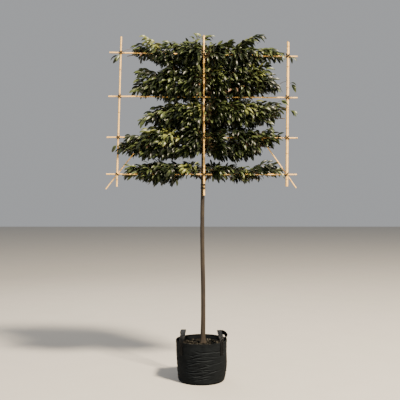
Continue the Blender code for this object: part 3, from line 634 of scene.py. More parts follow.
# Living laurel bark: dry and dull, streaked lengthwise, with pale lichen patches and rows of pores
bark, tree, shader, place = start_material("grey_brown_laurel_bark", 0.82, 1.48)
upright = add_node(tree, "Mapping", "Vector", {"Scale": (1, 1, 0.22), "Vector": place})
streaks = add_node(tree, "TexNoise", "Fac", {"Scale": 110, "Detail": 6, "Roughness": 0.6,
                                             "Vector": upright})
patches = add_node(tree, "TexNoise", "Fac", {"Scale": 9, "Detail": 3, "Vector": place})
level = add_node(tree, "Mapping", "Vector", {"Scale": (0.35, 0.35, 1), "Vector": place})
pores = add_node(tree, "TexVoronoi", "Distance", {"Scale": 190, "Vector": level})
colour_shader(shader, streaks, ("#130e09", "#2b2116"), [(patches, (0.45, 0.7, 0.7), "#342c1f")],
              [(0.6, 0.0012, streaks), (0.35, 0.0008, pores)])

stem_length = STEM_TOP - SOIL_TOP
bpy.ops.mesh.primitive_cylinder_add(vertices=STEM_SIDES, radius=STEM_FOOT_RADIUS, depth=stem_length,
                                    location=(0, 0, SOIL_TOP + 0.5 * stem_length))
stem = bpy.context.object
stem.name = "bark_stem"
bpy.ops.object.transform_apply(location=True)
start_editing(stem, "edges", lambda edge: abs(edge.verts[0].co.z - edge.verts[1].co.z) > 0.5 * stem_length)
bpy.ops.mesh.subdivide(number_cuts=int(stem_length / STEM_RING_STEP))
bpy.ops.object.mode_set(mode="OBJECT")
for vertex in stem.data.vertices:
    x, y, z = vertex.co
    angle = atan2(y, x)
    lobes = 1 + 0.16 * stem_flare(z) * cos(3 * angle + 0.6)
    radius = stem_radius(z) * lobes + bark_relief(angle, z, stem_radius(z))
    vertex.co = stem_centre(z) + radius * outward(angle)
point_outwards(stem)
finish_piece(stem, bark, "bark", "trunk", smooth=60)

# Height of each tier's arms, and how far they reach to the left and to the right
TIERS = {"top": (2.6, 0.69, 0.735), "upper": (2.352, 0.59, 0.732), "middle": (2.112, 0.512, 0.762),
         "lower": (1.875, 0.714, 0.672), "bottom": (1.652, 0.622, 0.68)}
SIDES = ((-1, "left"), (1, "right"))
HALVES = [(f"{tier}_{word}", side, row[0], row[1 + (side > 0)]) for tier, row in TIERS.items()
          for side, word in SIDES]
BOUGH_LENGTH = 0.105
BOUGH_RISE = 0.06
BOUGH_MOST_RADIUS = 0.0098
BOUGH_SHARE_OF_STEM = 0.8
BOUGH_TIP_SHARE = 0.64
BOUGH_BACK = 0.011
BOUGH_STAGGER = 0.016
BOUGH_COLLAR = 0.3
BOUGH_SIDES = 20
BOUGH_RINGS = 34


def bough_start(arm, side):
    """Height at which a bough leaves the stem: the two of a tier are a little apart."""
    return arm - BOUGH_RISE - side * 0.5 * BOUGH_STAGGER


def bough_radius(arm, side, share):
    """Radius of a bough at a share of its length: a thinner stem bears thinner boughs."""
    base = min(BOUGH_MOST_RADIUS, BOUGH_SHARE_OF_STEM * stem_radius(bough_start(arm, side)))
    return base * (1 + (BOUGH_TIP_SHARE - 1) * share)


def bough_point(arm, side, share):
    """The bough's axis, from inside the stem at 0 to the tip where its foliage starts at 1."""
    start = stem_centre(bough_start(arm, side))
    x = start.x + side * (0.5 * stem_radius(start.z) + BOUGH_LENGTH * share)
    y = start.y + (BOUGH_BACK - start.y) * min(1, 2.2 * share)
    return Vector((x, y, start.z + BOUGH_RISE * sin(0.5 * pi * share)))


def square_to(direction):
    """Two unit vectors square to a direction."""
    helper = UP if abs(direction.z) < 0.9 else Vector((1, 0, 0))
    across = direction.cross(helper).normalized()
    return across, direction.cross(across).normalized()


for half, side, arm, _ in HALVES:
    rings = []
    for share in [k / BOUGH_RINGS for k in range(BOUGH_RINGS + 1)]:
        here = bough_point(arm, side, share)
        ahead = bough_point(arm, side, min(1, share + 0.01)) - bough_point(arm, side, share - 0.01)
        radius = bough_radius(arm, side, share) * (1 + BOUGH_COLLAR * exp(-share / 0.12))
        ring = circle(here, 1, *square_to(ahead.normalized()), BOUGH_SIDES)
        for i, point in enumerate(ring):
            relief = bark_relief(2 * pi * i / BOUGH_SIDES, here.x + here.z, radius)
            ring[i] = here + (point - here) * (radius + relief)
        rings.append(ring)
    bough = new_object("bark_bough_" + half, *tube(rings))
    point_outwards(bough)
    finish_piece(bough, bark, "bark", "bough_" + half, smooth=60)


# Canes: dried bamboo, pale tan with darker rings at its knots, a little crooked at each knot, and
# hollow where it is sawn off.  The three uprights stand in front of the four level canes, and the
# two short slanted ones behind them, which end among the leaves of the lower tier.
LEVEL_RADIUS = 0.0055
SLANT_RADIUS = 0.0048
CANE_GAP = 0.0003
LEVEL_Y = STEM_FRONT - CANE_GAP - LEVEL_RADIUS
SLANT_Y = LEVEL_Y + LEVEL_RADIUS + CANE_GAP + SLANT_RADIUS
UPRIGHT_BACK_Y = LEVEL_Y - LEVEL_RADIUS - CANE_GAP
# Each cane's start and end across and up, its radius and the depth of its axis
CANES = {name: (Vector((x, y, z)), Vector((x_end - x, 0, z_end - z)), radius)
         for name, x, z, x_end, z_end, radius, y in (
    ("upright_left", -0.673, 1.54, -0.637, 2.729, 0.007, UPRIGHT_BACK_Y - 0.007),
    ("upright_middle", 0.02, 1.47, 0.018, 2.74, 0.008, UPRIGHT_BACK_Y - 0.008),
    ("upright_right", 0.676, 1.541, 0.687, 2.687, 0.0105, UPRIGHT_BACK_Y - 0.0105),
    ("level_1", -0.731, 2.607, 0.764, 2.575, LEVEL_RADIUS, LEVEL_Y),
    ("level_2", -0.741, 2.258, 0.764, 2.247, LEVEL_RADIUS, LEVEL_Y),
    ("level_3", -0.754, 1.932, 0.764, 1.927, LEVEL_RADIUS, LEVEL_Y),
    ("level_4", -0.758, 1.639, 0.758, 1.636, LEVEL_RADIUS, LEVEL_Y),
    ("slant_left", -0.763, 1.52, -0.455, 1.914, SLANT_RADIUS, SLANT_Y),
    ("slant_right", 0.754, 1.529, 0.467, 1.939, SLANT_RADIUS, SLANT_Y))}
CANE_SIDES = 20
CANE_RING_STEP = 0.005
CANE_TIP_SHARE = 0.94
CANE_BORE_SHARE = 0.62
CANE_BORE_DEPTH = 0.012
CANE_BEND = 0.0007
KNOT_SPACING = (0.13, 0.21)
KNOT_LENGTH = 0.0045
SLANTED_CUT = 0.35

# Sun-dried bamboo: hard smooth rind with a faint gloss, straw-coloured, grained and stained lengthwise
bamboo, tree, shader, _ = start_material("sun_dried_bamboo", 0.48, 1.5, coat=0.12, coat_roughness=0.35)
cane_uv = add_node(tree, "UVMap", "UV", {}, uv_map="cane")
knots = add_node(tree, "Attribute", "Fac", {}, attribute_name="knot")
lengthwise = add_node(tree, "Mapping", "Vector", {"Scale": (260, 9, 1), "Vector": cane_uv})
grain = add_node(tree, "TexNoise", "Fac", {"Scale": 1, "Detail": 5, "Roughness": 0.6,
                                           "Vector": lengthwise})
blotches = add_node(tree, "Mapping", "Vector", {"Scale": (30, 16, 1), "Vector": cane_uv})
stain = add_node(tree, "TexNoise", "Fac", {"Scale": 1, "Detail": 4, "Vector": blotches})
colour_shader(shader, grain, ("#dca446", "#fed780"),
              [(stain, (0.5, 0.78, 0.65), "#a17c42"), (knots, None, "#6b4a24")], [(0.25, 0.0005, grain)])


def make_cane(name, start, run, full, rng):
    """One cane: swollen knots with a dark ring, and a hollow sawn end at top and bottom."""
    length, along = run.length, run.normalized()
    across, over = square_to(along)
    knots = [rng.uniform(0.04, 0.12)]
    while knots[-1] < length:
        knots.append(knots[-1] + rng.uniform(*KNOT_SPACING))
    bends = [(rng.uniform(-1, 1), rng.uniform(-1, 1)) for _ in knots]
    stations = []
    count = int(length / CANE_RING_STEP)
    for s in [length * k / count for k in range(count + 1)]:
        nearest = min(range(len(knots)), key=lambda n: abs(knots[n] - s))
        off = s - knots[nearest]
        swell = 0.1 * exp(-(off / KNOT_LENGTH) ** 2) - 0.05 * exp(-((off + 0.008) / 0.004) ** 2)
        radius = full * (1 + (CANE_TIP_SHARE - 1) * s / length) * (0.985 + swell)
        bow = CANE_BEND * (0.5 + 0.5 * cos(pi * min(1, abs(off) / 0.08)))
        centre = start + along * s + bow * (bends[nearest][0] * across + bends[nearest][1] * over)
        stations.append((centre, radius, s, max(0, 1 - abs(off - 0.001) / KNOT_LENGTH)))
    (low, low_radius, *_), (high, high_radius, *_) = stations[0], stations[-1]
    bore = along * CANE_BORE_DEPTH
    stations = [(low + bore, CANE_BORE_SHARE * low_radius, CANE_BORE_DEPTH, 0.8),
                (low, CANE_BORE_SHARE * low_radius, 0, 0.15), *stations,
                (high, CANE_BORE_SHARE * high_radius, length, 0.15),
                (high - bore, CANE_BORE_SHARE * high_radius, length - CANE_BORE_DEPTH, 0.8)]
    rings = [circle(centre, radius, across, over, CANE_SIDES) for centre, radius, _, _ in stations]
    if name == "upright_right":
        for (centre, _, s, _), ring in list(zip(stations, rings))[len(rings) // 2 + 1:]:
            for point in ring:
                share = max(0, 1 - (length - s) / CANE_BORE_DEPTH)
                point.z += 2 * SLANTED_CUT * (centre.x - point.x) * share
    made = new_object("bamboo_cane_" + name, *tube(rings))
    uv = made.data.uv_layers.new(name="cane")
    for face in made.data.polygons:
        columns = [index % CANE_SIDES for index in face.vertices]
        wraps = len(columns) == 4 and max(columns) - min(columns) > 1
        for loop_index in face.loop_indices:
            k, i = divmod(made.data.loops[loop_index].vertex_index, CANE_SIDES)
            i = CANE_SIDES if wraps and i == 0 else i
            uv.data[loop_index].uv = (2 * pi * full * i / CANE_SIDES, stations[k][2] + 3 * start.x)
    knot = made.data.attributes.new(name="knot", type="FLOAT", domain="POINT")
    knot.data.foreach_set("value", [station[3] for station in stations for _ in range(CANE_SIDES)])
    finish_piece(made, bamboo, "bamboo", "cane_" + name, smooth=45)


cane_rng = random.Random(21)
for name, cane in CANES.items():
    make_cane(name, *cane, cane_rng)


# Ties: tarred twine, wound three times round each crossing one way and two times the other, and
# round stem and centre cane at the crown's foot, with the ends knotted in front.
TWINE_RADIUS = 0.0016
TWINE_CLEAR = 0.0003
TWINE_SIDES = 6
TIE_SAMPLES = 20
TAIL_STEP = 0.0046
STEM_TIE_HEIGHTS = (1.528, 1.554)
# Tarred twine: dark, dry and rough, with its twisted strands showing
twine = two_tone_material("tarred_garden_twine", (0.85,), ("#0f0b08", "#2e2417"),
                          {"Scale": 260, "Distortion": 2, "Detail": 2}, (0.7, 0.0006),
                          kind="TexWave", bands_direction="DIAGONAL")


def ellipse_points(member, origin, u, v, extra):
    """Where a round member is cut by the plane of u and v, as points of that ellipse, kept clear."""
    point, direction, radius = member
    normal = u.cross(v).normalized()
    along = direction.normalized()
    slope = abs(along.dot(normal))
    hit = point + along * ((origin - point).dot(normal) / along.dot(normal))
    wide = along - normal * along.dot(normal)
    wide = wide.normalized() if wide.length > 1e-6 else u
    skew = TWINE_RADIUS * sqrt(1 - slope * slope) / slope
    spots = [hit - origin + cos(turn) * (radius / slope + extra + skew) * wide
             + sin(turn) * (radius + extra) * normal.cross(wide)
             for turn in [2 * pi * i / TIE_SAMPLES for i in range(TIE_SAMPLES)]]
    return [(spot.dot(u), spot.dot(v)) for spot in spots]


def twine_tube(path, closed, radius):
    """Points and faces of twine along a path."""
    points, faces, count, last = [], [], len(path), None
    for k, centre in enumerate(path):
        behind = path[k - 1] if closed or k else path[0]
        ahead = path[(k + 1) % count] if closed or k < count - 1 else path[-1]
        across, over = square_to((ahead - behind).normalized())
        if k and across.dot(last) < 0:
            across, over = -across, -over
        last = across
        points += circle(centre, radius, across, over, TWINE_SIDES)
    for k in range(count if closed else count - 1):
        low, high = TWINE_SIDES * k, TWINE_SIDES * ((k + 1) % count)
        shift = min(range(TWINE_SIDES), key=lambda s: (points[low] - points[high + s]).length)
        for i in range(TWINE_SIDES):
            j = (i + 1) % TWINE_SIDES
            faces.append((low + i, low + j, high + (j + shift) % TWINE_SIDES,
                          high + (i + shift) % TWINE_SIDES))
    if not closed:
        faces += [tuple(reversed(range(TWINE_SIDES))), tuple(range(len(points) - TWINE_SIDES, len(points)))]
    return points, faces


def make_tie(node, origin, members, plans, rng):
    """All turns of one tie and its knot.  A plan is the u of its plane and how many turns it has."""
    parts = []
    v = Vector((0, 1, 0))
    front = origin
    for layer, (u, turns) in enumerate(plans):
        extra = TWINE_CLEAR + TWINE_RADIUS * (1 + 1.7 * layer)
        for n in range(turns):
            centre = origin + u.cross(v).normalized() * (n - 0.5 * (turns - 1)) * 2.05 * TWINE_RADIUS
            spots = [spot for member in members for spot in ellipse_points(member, centre, u, v, extra)]
            path = [centre + spots[i][0] * u + spots[i][1] * v for i in convex_hull_2d(spots)]
            parts.append(twine_tube(path, True, TWINE_RADIUS))
            front = min([front, *path], key=lambda point: point.y)
    knot_at = front + Vector((0.002, 0.0003, -0.001))
    for end in (-1, 1):
        tail = [knot_at]
        heading = Vector((end * 0.8, -0.35, -0.5 + 0.3 * rng.random())).normalized()
        for k in range(5):
            tail.append(tail[-1] + heading * TAIL_STEP)
            heading = (heading + Vector((0, 0.12, -0.3))).normalized()
        parts.append(twine_tube(tail, False, 0.85 * TWINE_RADIUS))
    loop = [knot_at + Vector((0.0021 * cos(turn), 0.0006 * cos(2 * turn), 0.0024 * sin(turn)))
            for turn in [0.2 * pi * k for k in range(10)]]
    parts.append(twine_tube(loop, True, TWINE_RADIUS))
    made = new_object("twine_" + node, *join_parts(parts))
    point_outwards(made)
    finish_piece(made, twine, "twine", node, smooth=60)


tie_rng = random.Random(8)
for word, lean in (("left", -1), ("middle", -1), ("right", 1)):
    upright = CANES["upright_" + word]
    for n in range(1, 5):
        level = CANES[f"level_{n}"]
        p, d, q, e = *upright[:2], *level[:2]
        hit = p + d * (((q.x - p.x) * e.z - (q.z - p.z) * e.x) / (d.x * e.z - d.z * e.x))
        members = [upright, level]
        plans = [(Vector((lean, 0, 1)).normalized(), 3), (Vector((-lean, 0, 1)).normalized(), 2)]
        if word == "middle":
            members.append((stem_centre(q.z), UP, stem_radius(q.z)))
        elif n == 4:
            members.append(CANES["slant_" + word])
            plans.pop()
        make_tie(f"tie_{word}_{n}", Vector((hit.x, 0.5 * (p.y + q.y), hit.z)), members, plans, tie_rng)
for n, z in enumerate(STEM_TIE_HEIGHTS):
    members = [(stem_centre(z), UP, stem_radius(z)), CANES["upright_middle"]]
    make_tie(f"tie_stem_{n + 1}", Vector((STEM_X, STEM_FRONT, z)), members, [(Vector((1, 0, 0)), 4)],
             tie_rng)


# Arms, shoots and twigs: from each bough's tip an arm runs out along its tier.  Shoots turn off it
# step by step, side twigs turn off the shoots, and all of them stay inside the tier's clipped outline.
ARM_STEPS = 5
ARM_WAVE = 0.018
ARM_FALL = 0.02
ARM_JITTER = (0.006, 0.005)
ARM_START = 0.012
ARM_SHORT_OF_REACH = 0.09288
ARM_END_RADIUS = 0.0034
CROWN_DEPTH = 0.148
SHOOT_STEP = 0.0078
SHOOT_TURN = 2.4
SHOOT_MOST = 0.19
SHOOT_LEAST = 0.022
SHOOT_MARGIN = 0.018
SHOOT_RADIUS = 0.0019
TWIG_STEP = 0.0172
TWIG_LENGTH = (0.04, 0.078)
TWIG_LEAST = 0.02
TWIG_MARGIN = 0.006
TWIG_RADIUS = 0.0012
TWIG_TIP_RADIUS = 0.0008
TWIG_SIDES = 5
INNER_SHARE = 0.21
BOUGH_SHOOTS = 24
LEAF_STEP = 0.013
# Leaf colour kinds: the summer kind is paler, partly a leaf tone and partly painted sunlight
MATURE, SUMMER_AND_SUNLIT, YOUNG, SPENT = range(4)

# Each tier's dense outline on each side: distance from the origin, lowest place, highest place
OUTLINES = {
    "top_left": ((0, 2.51, 2.68), (0.1, 2.51, 2.655), (0.31, 2.51, 2.645), (0.41, 2.56, 2.638),
        (0.54, 2.585, 2.632)),
    "top_right": ((0, 2.48, 2.65), (0.3, 2.475, 2.64), (0.4, 2.5, 2.644), (0.5, 2.545, 2.622),
        (0.64, 2.572, 2.606)),
    "upper_left": ((0, 2.225, 2.53), (0.17, 2.238, 2.53), (0.26, 2.19, 2.53), (0.35, 2.25, 2.41),
        (0.5, 2.275, 2.33)),
    "upper_right": ((0, 2.232, 2.54), (0.28, 2.235, 2.545), (0.42, 2.26, 2.535), (0.5, 2.28, 2.455),
        (0.58, 2.3, 2.33)),
    "middle_left": ((0, 2.005, 2.2), (0.2, 2.008, 2.19), (0.29, 2.01, 2.156), (0.44, 2.06, 2.11)),
    "middle_right": ((0, 2.008, 2.24), (0.25, 2.008, 2.232), (0.34, 2.01, 2.185), (0.46, 2.025, 2.18),
        (0.6, 2.11, 2.162)),
    "lower_left": ((0, 1.8, 2.01), (0.28, 1.755, 2.005), (0.45, 1.768, 1.97), (0.57, 1.79, 1.88),
        (0.64, 1.82, 1.855)),
    "lower_right": ((0, 1.82, 1.995), (0.16, 1.758, 2.01), (0.28, 1.74, 2.01), (0.42, 1.772, 1.985),
        (0.52, 1.852, 1.96), (0.6, 1.9, 1.94)),
    "bottom_left": ((0, 1.64, 1.712), (0.11, 1.64, 1.716), (0.19, 1.585, 1.72), (0.34, 1.552, 1.732),
        (0.42, 1.575, 1.725), (0.55, 1.62, 1.675)),
    "bottom_right": ((0, 1.6, 1.713), (0.2, 1.602, 1.69), (0.36, 1.58, 1.69), (0.47, 1.612, 1.706),
        (0.58, 1.64, 1.684)),
}
# Fans of arching shoots that stand out of the dense outline: how many, then for the first and for the
# last where it leaves the arm and the distance and height of its tip, then the colours dealt to them
DARK_FAN = (MATURE, MATURE, SUMMER_AND_SUNLIT)
FRESH_FAN = (SUMMER_AND_SUNLIT, SUMMER_AND_SUNLIT, YOUNG)
YOUNG_FAN = (YOUNG, YOUNG, SUMMER_AND_SUNLIT)
FANS = {
    "top_left": ((4, (0.4, 0.505, 2.665), (0.44, 0.48, 2.575), DARK_FAN), (5, (0.03, 0.05, 2.686),
        (0.3, 0.345, 2.668), FRESH_FAN), (2, (0.4, 0.44, 2.716), (0.36, 0.4, 2.69), YOUNG_FAN)),
    "top_right": ((7, (0.42, 0.51, 2.622), (0.56, 0.645, 2.59), FRESH_FAN), (3, (0.02, 0.06, 2.66),
        (0.14, 0.225, 2.7), FRESH_FAN), (4, (0.28, 0.33, 2.68), (0.33, 0.455, 2.744), DARK_FAN)),
    "upper_left": ((5, (0.3, 0.47, 2.48), (0.42, 0.526, 2.305), DARK_FAN),),
    "upper_right": ((6, (0.36, 0.505, 2.505), (0.46, 0.596, 2.315), DARK_FAN),),
    "middle_left": ((4, (0.26, 0.37, 2.165), (0.35, 0.46, 2.075), DARK_FAN), (3, (0.12, 0.18, 2.2),
        (0.22, 0.31, 2.172), YOUNG_FAN)),
    "middle_right": ((5, (0.2, 0.28, 2.225), (0.46, 0.59, 2.2), FRESH_FAN), (5, (0.5, 0.635, 2.165),
        (0.4, 0.53, 2.052), DARK_FAN)),
    "lower_left": ((4, (0.2, 0.27, 2.012), (0.34, 0.43, 1.985), YOUNG_FAN), (5, (0.44, 0.56, 1.94),
        (0.52, 0.64, 1.835), DARK_FAN)),
    "lower_right": ((5, (0.42, 0.53, 1.985), (0.5, 0.6, 1.922), DARK_FAN),),
    "bottom_left": ((4, (0.44, 0.56, 1.698), (0.48, 0.582, 1.64), DARK_FAN), (2, (0.12, 0.19, 1.718),
        (0.26, 0.35, 1.722), DARK_FAN)),
    "bottom_right": ((4, (0.46, 0.58, 1.712), (0.52, 0.63, 1.645), DARK_FAN), (2, (0.16, 0.24, 1.702),
        (0.42, 0.53, 1.712), DARK_FAN)),
}
# Long bare shoots that end in a few leaves beyond the rest: where each leaves the arm, then its tip
LONG_SHOOTS = {
    "top_left": ((0.5, 0.668, 2.572),),
    "top_right": ((0.6, 0.716, 2.57),),
    "upper_right": ((0.6, 0.72, 2.348),),
    "middle_right": ((0.58, 0.64, 2.215), (0.58, 0.714, 2.134)),
    "lower_left": ((0.6, 0.69, 1.868),),
}
LONG_SHOOT_FRONT = 0.072
LONG_SHOOT_ARCH = 0.5
LONG_SHOOT_BARE = 0.84
FAN_DEPTH = (-0.085, 0.06)
FAN_JITTER = 0.01
FAN_ARCH = 0.2
FAN_BARE = 0.1

twigs = []
leaf_stalks = []


def outline_at(outline, distance):
    """Lowest and highest place of a tier's outline at a distance from the origin."""
    stations, lows, highs = zip(*outline)
    return float(np.interp(distance, stations, lows)), float(np.interp(distance, stations, highs))


def inside(outline, side, point, margin=0):
    """True where a point lies inside the tier's outline and its rounded depth."""
    distance = side * point.x
    if distance < -0.03 or distance > outline[-1][0] - margin:
        return False
    low, high = outline_at(outline, max(distance, 0))
    half = 0.5 * (high - low) - margin
    if half <= 0:
        return False
    up_down = abs(point.z - 0.5 * (low + high)) / half
    depth = CROWN_DEPTH * (1 - 0.45 * (max(0, distance) / outline[-1][0]) ** 3) - margin
    return up_down ** 3 + (abs(point.y) / depth) ** 2.4 < 1


def room_along(outline, side, root, heading, most, margin):
    """How far one can go from a root along a heading and stay inside the outline."""
    gone = step = 0.006
    while gone < most and inside(outline, side, root + heading * gone, margin):
        gone += step
    return gone - step


def jitter(rng, amount):
    """A small random offset."""
    return Vector([rng.uniform(-amount, amount) for _ in range(3)])


def curved_twig(root, heading, length, lift, rng, steps=4):
    """Points of a twig that starts along its heading and bends up, or down where lift is negative."""
    points = [root]
    for k in range(steps):
        heading = (heading + UP * lift / steps + jitter(rng, 0.07)).normalized()
        points.append(points[-1] + heading * length / steps)
    return points


def point_on(path, share):
    """The place and the direction at a share of the path's points."""
    spot = share * (len(path) - 1)
    i = min(int(spot), len(path) - 2)
    return path[i].lerp(path[i + 1], spot - i), (path[i + 1] - path[i]).normalized()


def turned_out(along, angle):
    """The unit vector square to a direction at an angle round it."""
    across, over = square_to(along)
    return cos(angle) * across + sin(angle) * over


def path_length(path):
    """Length of a path of points."""
    return sum((b - a).length for a, b in zip(path, path[1:]))


def spray_look(rng, outline, tip, side):
    """The colour kind of a spray: young growth is at the tops of the tiers and at the tips, and paler summer
    leaves are dealt more often higher up, as painted sunlight, leaving the dark mature ones lower down as
    painted shade.
    """
    low, high = outline_at(outline, max(side * tip.x, 0))
    height = (tip.z - low) / max(high - low, 0.01)
    if height > 0.75 and rng.random() < 0.14:
        return YOUNG
    # Painted light: paler summer leaves grow likelier towards the top of the plant and of each tier, standing
    # for sunlight, and dark mature ones lower down stand for shade
    sunlit = min(1, tip.z - 1.5)
    return SUMMER_AND_SUNLIT if rng.random() < (0.15 + 0.36 * height) * sunlit else MATURE


def leaves_on(path, rng, look, outline, first=0.15, step=LEAF_STEP):
    """Note where alternate leaves sit on a twig: root, twig's direction, outward turn and look.

    Where an outline is given, a leaf that would reach far out of it is left out later.
    """
    count = max(1, int(path_length(path) * (1 - first) / step))
    turn = rng.uniform(0, 2 * pi)
    for i in range(count):
        root, along = point_on(path, first + (1 - first) * (i + 0.5) / count)
        angle = turn + SHOOT_TURN * i + rng.uniform(-0.3, 0.3)
        leaf_stalks.append((root, along, angle, look, False, outline))
    root, along = point_on(path, 1)
    for n in range(2):
        leaf_stalks.append((root, along, turn + SHOOT_TURN * (count + n), look, True, outline))


def grow_shoot(outline, side, root, heading, length, rng, lift):
    """A shoot off the arm, with its side twigs and the leaves of both."""
    shoot = curved_twig(root, heading, length, lift, rng)
    look = spray_look(rng, outline, shoot[-1], side)
    twigs.append((shoot, SHOOT_RADIUS * (0.75 + 2.2 * length), 0.001))
    leaves_on(shoot, rng, look, outline, first=0.12)
    count = int(length / TWIG_STEP)
    turn = rng.uniform(0, 2 * pi)
    for i in range(count):
        foot, along = point_on(shoot, 0.22 + 0.7 * (i + 0.5) / count)
        out = turned_out(along, turn + SHOOT_TURN * i)
        way = (0.75 * out + 0.65 * along + jitter(rng, 0.15)).normalized()
        room = room_along(outline, side, foot, way, rng.uniform(*TWIG_LENGTH), TWIG_MARGIN)
        if room >= TWIG_LEAST:
            twig = curved_twig(foot, way, room, 0.15, rng, steps=3)
            twigs.append((twig, TWIG_RADIUS, TWIG_TIP_RADIUS))
            leaves_on(twig, rng, look, outline, first=0.3)


def shoot_at(outline, side, path, share, angle, lean, rng):
    """One shoot from a place on the arm or bough, if the outline leaves it room."""
    root, along = point_on(path, share)
    heading = (turned_out(along, angle) + lean * along + jitter(rng, 0.15)).normalized()
    room = room_along(outline, side, root, heading, SHOOT_MOST, SHOOT_MARGIN)
    length = min(SHOOT_MOST, room) * rng.uniform(0.72, 1)
    if length > SHOOT_LEAST:
        grow_shoot(outline, side, root, heading, length, rng, 0.25 if heading.z > -0.2 else -0.1)


for number, (half, side, arm_height, reach) in enumerate(HALVES):
    outline = OUTLINES[half]
    seed = 100 * (number // 2 + 1) + 1 + number % 2
    rng, arm_rng = random.Random(seed), random.Random(seed + 50)
    start = bough_point(arm_height, side, 1)
    run = side * (reach - ARM_SHORT_OF_REACH) - start.x
    arm = [start, start + Vector((side * ARM_START, 0, 0))]
    for share in [i / ARM_STEPS for i in range(1, ARM_STEPS + 1)]:
        y = ARM_WAVE * sin(2.6 * share * pi) + arm_rng.uniform(-ARM_JITTER[0], ARM_JITTER[0])
        z = ARM_WAVE * sin(pi * share) - ARM_FALL * share + arm_rng.uniform(-ARM_JITTER[1], ARM_JITTER[1])
        arm.append(start + Vector((run * share, y, z)))
    smooth_arm = smooth_between(arm, 4)
    twigs.append((smooth_arm, bough_radius(arm_height, side, 1), ARM_END_RADIUS))
    steps = int(path_length(arm) / SHOOT_STEP)
    turn = rng.uniform(0, 2 * pi)
    for i in range(steps):
        share = (i + 0.5) / steps
        lean = rng.uniform(-0.95, 0.1) if share < INNER_SHARE else rng.uniform(0.25, 0.75)
        shoot_at(outline, side, arm, share, turn + SHOOT_TURN * i, lean, rng)
    bough_points = [bough_point(arm_height, side, 0.1 * k) for k in range(3, 11)]
    for i in range(BOUGH_SHOOTS):
        shoot_at(outline, side, bough_points, (i + 0.5) / BOUGH_SHOOTS, turn + SHOOT_TURN * i,
                 rng.uniform(-0.7, 0.3), rng)
    leaves_on(smooth_arm, rng, MATURE, outline, first=0.1, step=0.02)
    free_shoots = []
    for count, first, last, looks in FANS[half]:
        for n in range(count):
            place = Vector(first).lerp(Vector(last), n / (count - 1))
            free_shoots.append((place, rng.uniform(*FAN_DEPTH), rng.choice(looks), FAN_BARE, FAN_ARCH))
    for place in LONG_SHOOTS.get(half, ()):
        free_shoots.append((place, -LONG_SHOOT_FRONT, SUMMER_AND_SUNLIT, LONG_SHOOT_BARE, LONG_SHOOT_ARCH))
    for (base, tip_x, tip_z), forward, look, bare, arch in free_shoots:
        share = min(0.97, max(0.02, (base - side * arm[0].x) / (side * (arm[-1].x - arm[0].x))))
        root, _ = point_on(smooth_arm, share)
        tip = Vector((side * (tip_x - 0.012), root.y + forward, tip_z)) + jitter(rng, FAN_JITTER)
        middle = 0.5 * (root + tip) + UP * arch * (tip - root).length
        shoot = [root.lerp(middle, t).lerp(middle.lerp(tip, t), t) for t in (0, 0.2, 0.4, 0.6, 0.8, 1)]
        twigs.append((shoot, 1.2 * SHOOT_RADIUS, 0.001))
        leaves_on(shoot, rng, look, None, first=bare, step=0.0125)

foot = stem_centre(STEM_TOP)
leader = [foot - UP * 0.01, foot + Vector((0.002, 0, 0.025)), foot + Vector((0.004, -0.002, 0.042))]
twigs.append((leader, STEM_TIP_RADIUS, 0.0012))
leader_rng = random.Random(11)
for i in range(4):
    root, along = point_on(leader, 0.25 + 0.2 * i)
    heading = (turned_out(along, SHOOT_TURN * i) + 0.8 * along).normalized()
    sprig = curved_twig(root, heading, 0.03, 0.3, leader_rng, steps=3)
    twigs.append((sprig, TWIG_RADIUS, TWIG_TIP_RADIUS))
    leaves_on(sprig, leader_rng, YOUNG if i % 2 else SUMMER_AND_SUNLIT, None, first=0.3, step=0.012)
leaves_on(leader, leader_rng, SUMMER_AND_SUNLIT, None, first=0.3, step=0.011)

twig_tubes = []
for path, radius, tip_radius in twigs:
    last = len(path) - 1
    twig_tubes.append(tube([
        circle(centre, radius + (tip_radius - radius) * k / last,
               *square_to((path[min(k + 1, last)] - path[max(k - 1, 0)]).normalized()), TWIG_SIDES)
        for k, centre in enumerate(path)]))
# Young bark: brown, thin and dull, paler in patches
twig_skin = two_tone_material("young_laurel_twig_bark", (0.7, 1.48), ("#2a1c14", "#5d4a2c"),
                              {"Scale": 60, "Detail": 4}, (0.4, 0.0006))
finish_piece(new_object("arms_shoots_and_twigs", *join_parts(twig_tubes)), twig_skin, "bark", smooth=60)


# Leaves: narrow pointed laurel leaves on short stalks, leathery and glossy, folded along the midrib
# and drooping at the tip.  Young growth is yellow-green, paler summer leaves are partly a leaf tone and
# partly painted sunlight, and a few old leaves are dull brown.
LEAF_LENGTH = (0.064, 0.094)
LEAF_WIDTH_SHARE = (0.27, 0.34)
LEAF_DROOP = (0.5, 1.45)
LEAF_FOLD = (0.2, 0.6)
LEAF_SLACK = (0.004, 0.034)
LEAF_CLEAR_OF_CANE = 0.0012
VEIN_SPACING = 0.004
# The sun reaches the centre cane between the leaves: how far its way leads aside, and how wide it is
SUN_SLOPE = 0.88
SUN_BAND = 0.032
# Half width of a leaf at each place along it, as shares of its half width and its length
LEAF_SHAPE = ((0, 0.035), (0.12, 0.1), (0.3, 0.8), (0.5, 1), (0.72, 0.84), (0.9, 0.4), (1, 0))
# A leathery waxed leaf: soft gloss, mottled from leaf to leaf, with a faint net of veins
LEAF_KINDS = (
    ("leaves_mature", "mature_laurel_leaf", ("#0a0f08", "#1f2913"), 0.42),
    # Painted sunlight: the paler summer leaf also serves as the lit copy of the leaf
    ("leaves_summer_and_sunlit", "summer_and_sunlit_laurel_leaf", ("#252d19", "#4a552e"), 0.42),
    ("leaves_young", "young_laurel_leaf", ("#465026", "#6f733d"), 0.44),
    ("leaves_spent", "spent_laurel_leaf", ("#4c3525", "#6b5340"), 0.66),
)


